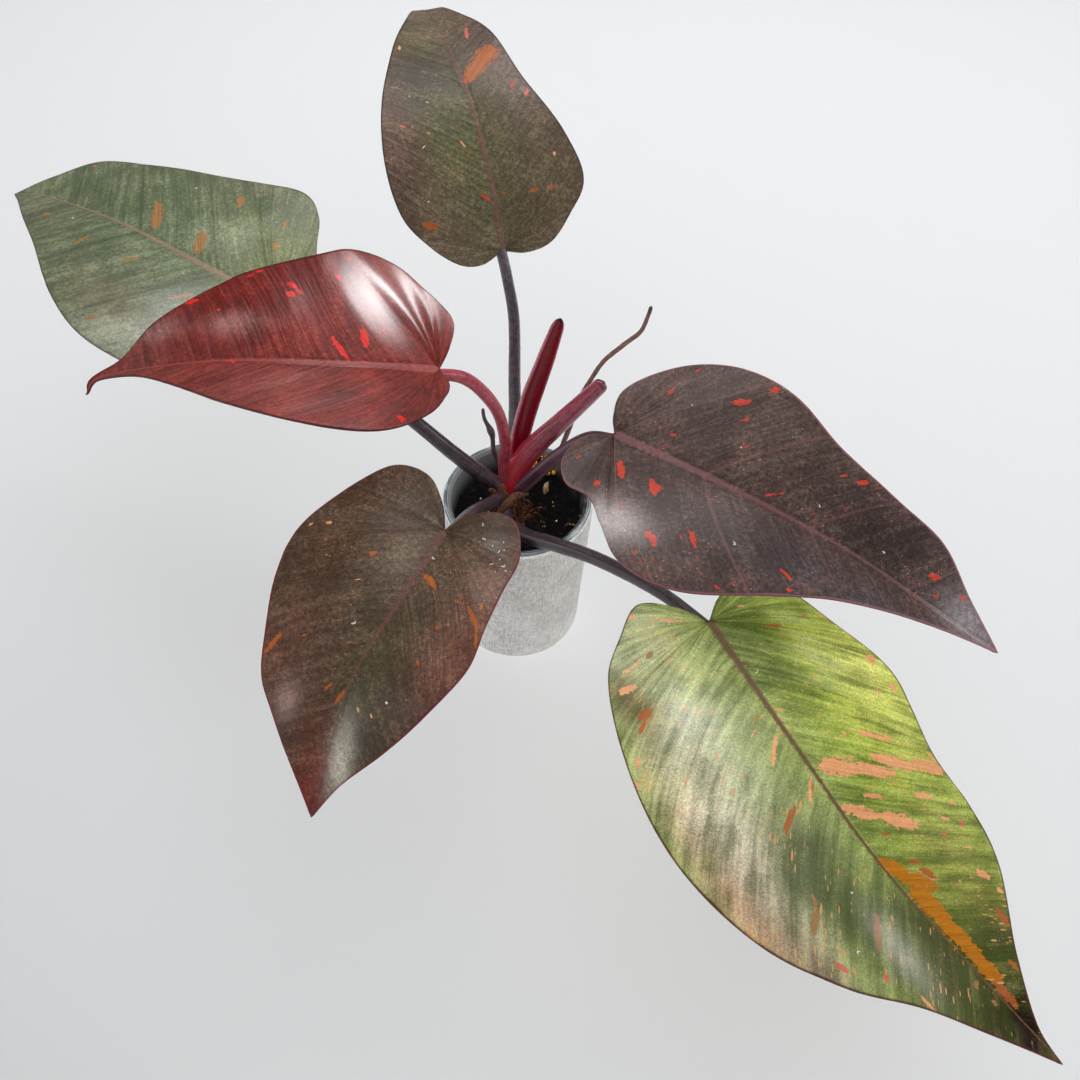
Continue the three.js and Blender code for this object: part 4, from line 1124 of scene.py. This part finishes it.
def shoot(name, node, slot, route, radius, material, steps, knot=None, **sizes):
    """A tapering round growth along a route; radius gives the sizes at even steps from foot to tip."""
    points = smooth_curve(route, steps)
    share = np.linspace(0, 1, len(points))
    radii = np.interp(share, np.linspace(0, 1, len(radius)), radius)
    if knot:
        radii = radii + knot[1] * np.exp(-((share - knot[0]) / knot[2]) ** 2)
    dress(grow(name, [(points, rounded_ends(radii, points))], material, **sizes), node, slot)


shoot("crown_stem", "stem", "crimson_tissue", [(1, 6, 55), (0, 6, 75), (-3, 9, 95), (-4, 9, 106)], (8, 6.5),
      finish("stem_skin", crown_tissue(0x1c0e0c, 0x4a221e, 0.6)), 30, Sides=32, Ridges=1.4 * MM, Spacing=170.0)
shoot("rolled_leaf", "leaf_spike", "crimson_tissue",
      [(-4, 9, 98), (-2, 13, 110), (6, 16, 126), (21, 18, 146), (33, 23, 158), (43, 27, 168)],
      (6.3, 5.9, 5.2, 4.4, 3.7),
      finish("spike_skin", crown_tissue(0x641628, 0xb4566a, 0.26, tip=0x521624, seam=0x3c0812, foot=0xc00020)),
      90, Sides=48, Facing=(0.0, -1.0, 0.6), Overlap=0.17, Seam=0.42, Ridges=0.3 * MM, Spacing=120.0)
shoot("long_root", "aerial_root_long", "brown_root",
      [(4, 12, 98), (14, 16, 110), (21, 16, 124), (26, 21, 138), (30, 27, 152), (35, 31, 162), (42, 37, 172),
       (53, 43, 180), (60, 47, 184), (63, 50, 190), (65, 53, 197)], (1.5, 1.3, 1.5, 1.25, 1.3, 1.0),
      finish("root_skin", crown_tissue(0x4a2c2a, 0x9a6a60, 0.5, tip=0x3a1c24)), 100, Sides=14, Ridges=0.6 * MM,
      Spacing=260.0)
shoot("short_root", "aerial_root_short", "brown_root",
      [(-7, 14, 98), (-10, 19, 106), (-12, 20, 113), (-14, 20, 120), (-15, 23, 130), (-19, 26, 138),
       (-20, 28, 144)], (1.1, 1.1, 1.3, 1.2, 0.9),
      finish("short_root_skin", crown_tissue(0x241c20, 0x6a585a, 0.5)), 70,
      knot=(0.72, 0.8, 0.06), Sides=14, Ridges=0.4 * MM, Spacing=300.0)


SHEATH_CLOSES = 0.94  # the share of its length where a sheath draws in to its tip


def gutter(name, node, slot, material, route, radius, half_angle, face, wall, steps, ring):
    """An open sheath: a curved wall around a channel; radius gives its sizes at even steps."""
    centre = smooth_curve(route, steps)
    out = np.array(face, float)
    rings = []
    for k, (point, ahead) in enumerate(zip(centre, unit(np.gradient(centre, axis=0)))):
        share = k / steps
        out = unit(out - ahead * (out @ ahead))
        sideways = np.cross(out, ahead)
        close = math.sqrt(max(0.03, 1 - max(0, (share - SHEATH_CLOSES) / (1 - SHEATH_CLOSES)) ** 2))
        size = np.interp(share, np.linspace(0, 1, len(radius)), radius) * close
        half = lerp(half_angle, share)
        outer = arc([0, 0], size, 270 - half, 270 + half, ring)
        inner = arc([0, 0], size - wall * close, 270 + half, 270 - half, ring)
        section = np.array(outer + inner)
        rings.append(point + section[:, :1] * sideways + section[:, 1:] * out)
    size = len(rings[0])
    half = size // 2
    faces = ring_faces(steps + 1, size)
    for base in (0, steps * size):
        faces += [(base + a, base + a + 1, base + size - 2 - a, base + size - 1 - a) for a in range(half - 1)]
    mesh = mesh_of(name, rings, faces)
    hold(mesh, "along", np.repeat(np.linspace(0, 1, steps + 1), size))
    hold(mesh, "upper", np.tile([*np.linspace(-1, 1, half), *np.linspace(1, -1, half)], steps + 1))
    hold(mesh, "inside", np.tile([*np.zeros(half), *np.ones(half)], steps + 1))
    dress(finished_piece(name, mesh, material), node, slot)


def sheath_tissue(paint):
    """The open sheath: a deep crimson channel between paler, pinker outer walls."""
    place = paint.place()
    along, upper = paint.held("along"), paint.held("upper")
    lanes = paint.noise(paint.unrolled(upper * 14, along * 2), 2.0, 4, 0.65)
    mottle = paint.noise(place, 500, 3, 0.6)
    outer = (lanes * 0.7 + mottle * 0.4).step(0.36, 0.7).blend(0x86283c, 0xc4707e)
    inner = (lanes * 0.7 + mottle * 0.4).step(0.4, 0.75).blend(0x64000e, 0x9a0e26)
    colour = paint.held("inside").blend(outer, inner)
    colour = ((along + mottle * 0.02).step(0.985, 1.0) * 0.9).blend(colour, 0x2a0a14)
    return {"Base Color": colour, "Roughness": 0.28 + mottle * 0.12, "Specular IOR Level": 0.4,
            "Coat Weight": 0.5, "Coat Roughness": 0.18,
            "Normal": bump(paint, lanes + mottle * 0.5, 0.0003, 0.6)}


gutter("open_sheath", "open_cataphyll", "crimson_tissue", finish("sheath_skin", sheath_tissue),
       [(-2, 17, 98), (0, 18, 130), (5, 23, 155), (12, 29, 178), (19, 36, 201)], (4.6, 4.7, 5.2, 5.3, 4.6, 3.2),
       (120, 95), (0.3, -1, 0), 1.1, 80, 28)


def papery(paint):
    """Dry scale: thin brown fibre with paler lengthwise strands."""
    place = paint.place()
    along, upper = paint.held("along"), paint.held("upper")
    strands = paint.noise(paint.unrolled(upper * 12, along * 1.5), 2.5, 4, 0.7)
    mottle = paint.noise(place, 700, 3, 0.7)
    colour = (strands * 0.6 + mottle * 0.4).step(0.36, 0.66).blend(0x22120c, 0x7c5238)
    return {"Base Color": colour, "Roughness": 0.6, "Specular IOR Level": 0.25,
            "Normal": bump(paint, strands + mottle * 0.4, 0.0003, 0.8)}


# Each scale's route, its sizes from foot to tip, its half angle round the channel and the way it faces.
SCALES = {
    "papery_scale": ([(-9, -1.5, 92.5), (-10.5, 0, 99), (-12.5, 1.5, 106), (-15, 1, 111)],
                     (3.4, 2.9, 2.2, 1.6), 80, (0, 1, 0)),
    "torn_scale_a": ([(-4, 1, 92), (-6, 1, 99), (-8, 3, 106), (-9, 5, 111)],
                     (6.5, 5.6, 4.2, 2.0), 46, (0, 1, 0)),
    "torn_scale_b": ([(2, 0, 92), (1.5, -0.5, 97), (-1, -1.5, 102), (-5, -3, 105)],
                     (4.5, 4.0, 3.0, 1.2), 38, (0.3, 1, 0)),
    "torn_scale_d": ([(5.5, 4.1, 103.5), (-1.4, 0.4, 105), (-6.0, -5.5, 105), (-10.6, -10.2, 102)],
                     (1.2, 2.8, 3.0, 1.4), 58, (0.1, 0.6, -1)),
    "torn_scale_c": ([(6, 3, 92), (7.5, 2, 96), (10.5, -0.5, 100), (14, -3, 102)],
                     (4.0, 3.4, 2.2, 0.9), 36, (-0.8, 1, 0)),
}
SCALE_WALL = 0.5
paper = finish("papery_skin", papery)
for name, (route, radius, half_angle, face) in SCALES.items():
    gutter(name, "dried_sheath", "brown_root", paper, route, radius, (half_angle, half_angle), face,
           SCALE_WALL, 26, 16)

ROOTLETS = 120
ROOTLET_STEPS = 14
dice = np.random.default_rng(21)
threads = []
for k in range(ROOTLETS):
    turn = dice.uniform(0, 2 * math.pi)
    spread = math.sqrt(dice.uniform(0, 1))
    foot = np.array([-0.5 + 8.5 * spread * math.cos(turn), -3 + 6.5 * spread * math.sin(turn)])
    heading = dice.uniform(0, 2 * math.pi)
    length = dice.uniform(4, 12)
    lift = dice.uniform(0.5, 16) * (1 - 0.5 * spread)
    path = []
    for step in range(ROOTLET_STEPS + 1):
        share = step / ROOTLET_STEPS
        heading += dice.normal(0, 0.42)
        foot = foot + length / ROOTLET_STEPS * np.array([math.cos(heading), math.sin(heading)])
        ground = float(soil_top(foot[0], foot[1], soil_edge))
        path.append((foot[0], foot[1], ground + lift * math.sin(math.pi * (0.15 + 0.8 * share)) - 0.3))
    size = dice.uniform(0.25, 0.75)
    threads.append((np.array(path), np.linspace(size, size * 0.45, ROOTLET_STEPS + 1)))
chip = np.array([(14.2, 14.5, 93.0), (15.0, 16.0, 94.4), (15.6, 17.6, 95.4), (16.4, 19.4, 95.6)])
tan_chip = grow("tan_chip", [(chip, np.array([0.9, 1.9, 2.0, 1.1]))],
                finish("tan_chip_skin", speckled(0x6e5238, 0xc8ac84, 500, 0.7, 0.3)), Sides=12, Ridges=1.2 * MM,
                Spacing=420.0)
dress(tan_chip, "soil", "potting_soil")
rootlets = grow("rootlets", threads, finish("rootlet_skin", speckled(0x120806, 0x6c3c28, 420, 0.5, 0.35)),
                Sides=6, Ridges=0.3 * MM, Spacing=500.0)
dress(rootlets, "dried_sheath", "brown_root")


# Grit: dried water marks, pale specks of perlite dust and a few drops that lie on the blades. Each
# leaf has its places as along and across, in millimetres.

GRIT = {
    "front_left": [(1, 24), (3, 29), (6, 33), (9, 36), (12, 34), (4, 35), (11, 39), (16, 37), (-6, 18), (0, 33),
                   (17, 5), (14, 41), (60, -12), (44, 30), (84, 22)],
    "top": [(86, 30), (56, 31), (30, 34)],
    "back_left": [(92, -40), (30, -44), (140, 10)],
    "right": [(60, 20), (104, 12), (40, -48), (78, -30), (26, 30), (140, 8)],
    "front_right": [(20, 12), (34, 6), (46, 2), (30, 30), (130, -20), (147, -36)],
}
GRIT_LIFT = 0.75  # clears the pleats and veins
GRIT_STEPS = 6
marks = []
for name, places in GRIT.items():
    for along, across in places:
        side = 1 if across > 0 else -1
        heading = dice.uniform(0, 2 * math.pi)
        reach = dice.uniform(0.3, 1.2) if len(marks) % 2 else dice.uniform(1.6, 3.4)
        x, y = float(along), abs(float(across))
        path = []
        for step in range(GRIT_STEPS + 1):
            path.append(forms[name].point(np.array([x]), np.array([y]), side, -GRIT_LIFT)[0])
            heading += dice.normal(0, 0.9)
            x += reach / GRIT_STEPS * math.cos(heading)
            y += reach / GRIT_STEPS * math.sin(heading)
        size = dice.uniform(0.22, 0.42)
        marks.append((np.array(path), size * np.array([0.4, 0.9, 1.1, 0.8, 1.1, 0.8, 0.3])))
grit = grow("pale_grit", marks, finish("grit_skin", speckled(0xd6d0c6, 0xf2eee8, 900, 0.5, 0.4)), Sides=8)
dress(grit, "blade_front_left", "bronze_leaf")


# Floor and light: a pale board with painted shade darkening it toward the front left, a long soft box
# behind and above the plant, smaller ones at its sides and a broad ceiling light that no leaf mirrors.
# None of it is part of the plant.

FLOOR_HALF = 4000


def pale_board(paint):
    place = paint.place()
    # Painted shade: the board's colour darkens toward the front left.
    painted_shade_near_left = paint.reach_along(place, (-0.6, -0.8, 0)).step(0.05, 0.6)
    return {"Base Color": painted_shade_near_left.blend(0xe2e3e4, 0xcacccc), "Roughness": 0.75, "Specular IOR Level": 0.2}


corners = [(x * FLOOR_HALF, y * FLOOR_HALF, 0) for x, y in ((-1, -1), (1, -1), (1, 1), (-1, 1))]
floor_mesh = mesh_of("floor", corners, [(0, 1, 2, 3)])
floor_mesh.materials.append(finish("pale_board", pale_board))
floor = bpy.data.objects.new("floor", floor_mesh)
scene.collection.objects.link(floor)


def soft_box(name, place, aim, size, power, mirrored=True):
    light = bpy.data.lights.new(name, "AREA")
    light.shape = "RECTANGLE"
    light.size, light.size_y = size
    light.energy = power
    lamp = bpy.data.objects.new(name, light)
    lamp.location = place
    lamp.rotation_euler = (Vector(aim) - Vector(place)).to_track_quat("-Z", "Y").to_euler()
    light.use_shadow = False
    lamp.visible_glossy = mirrored
    scene.collection.objects.link(lamp)


PLANT_MIDDLE = (0, 0, 0.15)
soft_box("back_strip", (0.05, 1.0, 1.6), PLANT_MIDDLE, (1.7, 0.36), 20)
soft_box("left_wall", (-1.5, -0.6, 0.55), PLANT_MIDDLE, (0.9, 0.6), 3)
soft_box("right_wall", (1.6, 0.0, 1.1), PLANT_MIDDLE, (0.7, 0.7), 6)
soft_box("ceiling", (0.3, 0.0, 2.4), PLANT_MIDDLE, (3.2, 3.2), 28, mirrored=False)

# The room is pale all round, and dimmer behind the strip, so that the glossy leaves stay dark there.
STRIP_TILT = 0.9  # how high above the horizon the strip stands, in radians
world = bpy.data.worlds.new("studio")
world.use_nodes = True
room = Paint(world.node_tree)
behind = room.reach_along(room.place_in_world(), (0.05, math.cos(STRIP_TILT), math.sin(STRIP_TILT)))
sky = behind.step(-0.1, 0.7).blend(0xfcfdff, 0x3c3e42)
backdrop = next(n for n in world.node_tree.nodes if n.type == "BACKGROUND")
world.node_tree.links.new(sky.socket, backdrop.inputs["Color"])
backdrop.inputs["Strength"].default_value = 0.6
scene.world = world
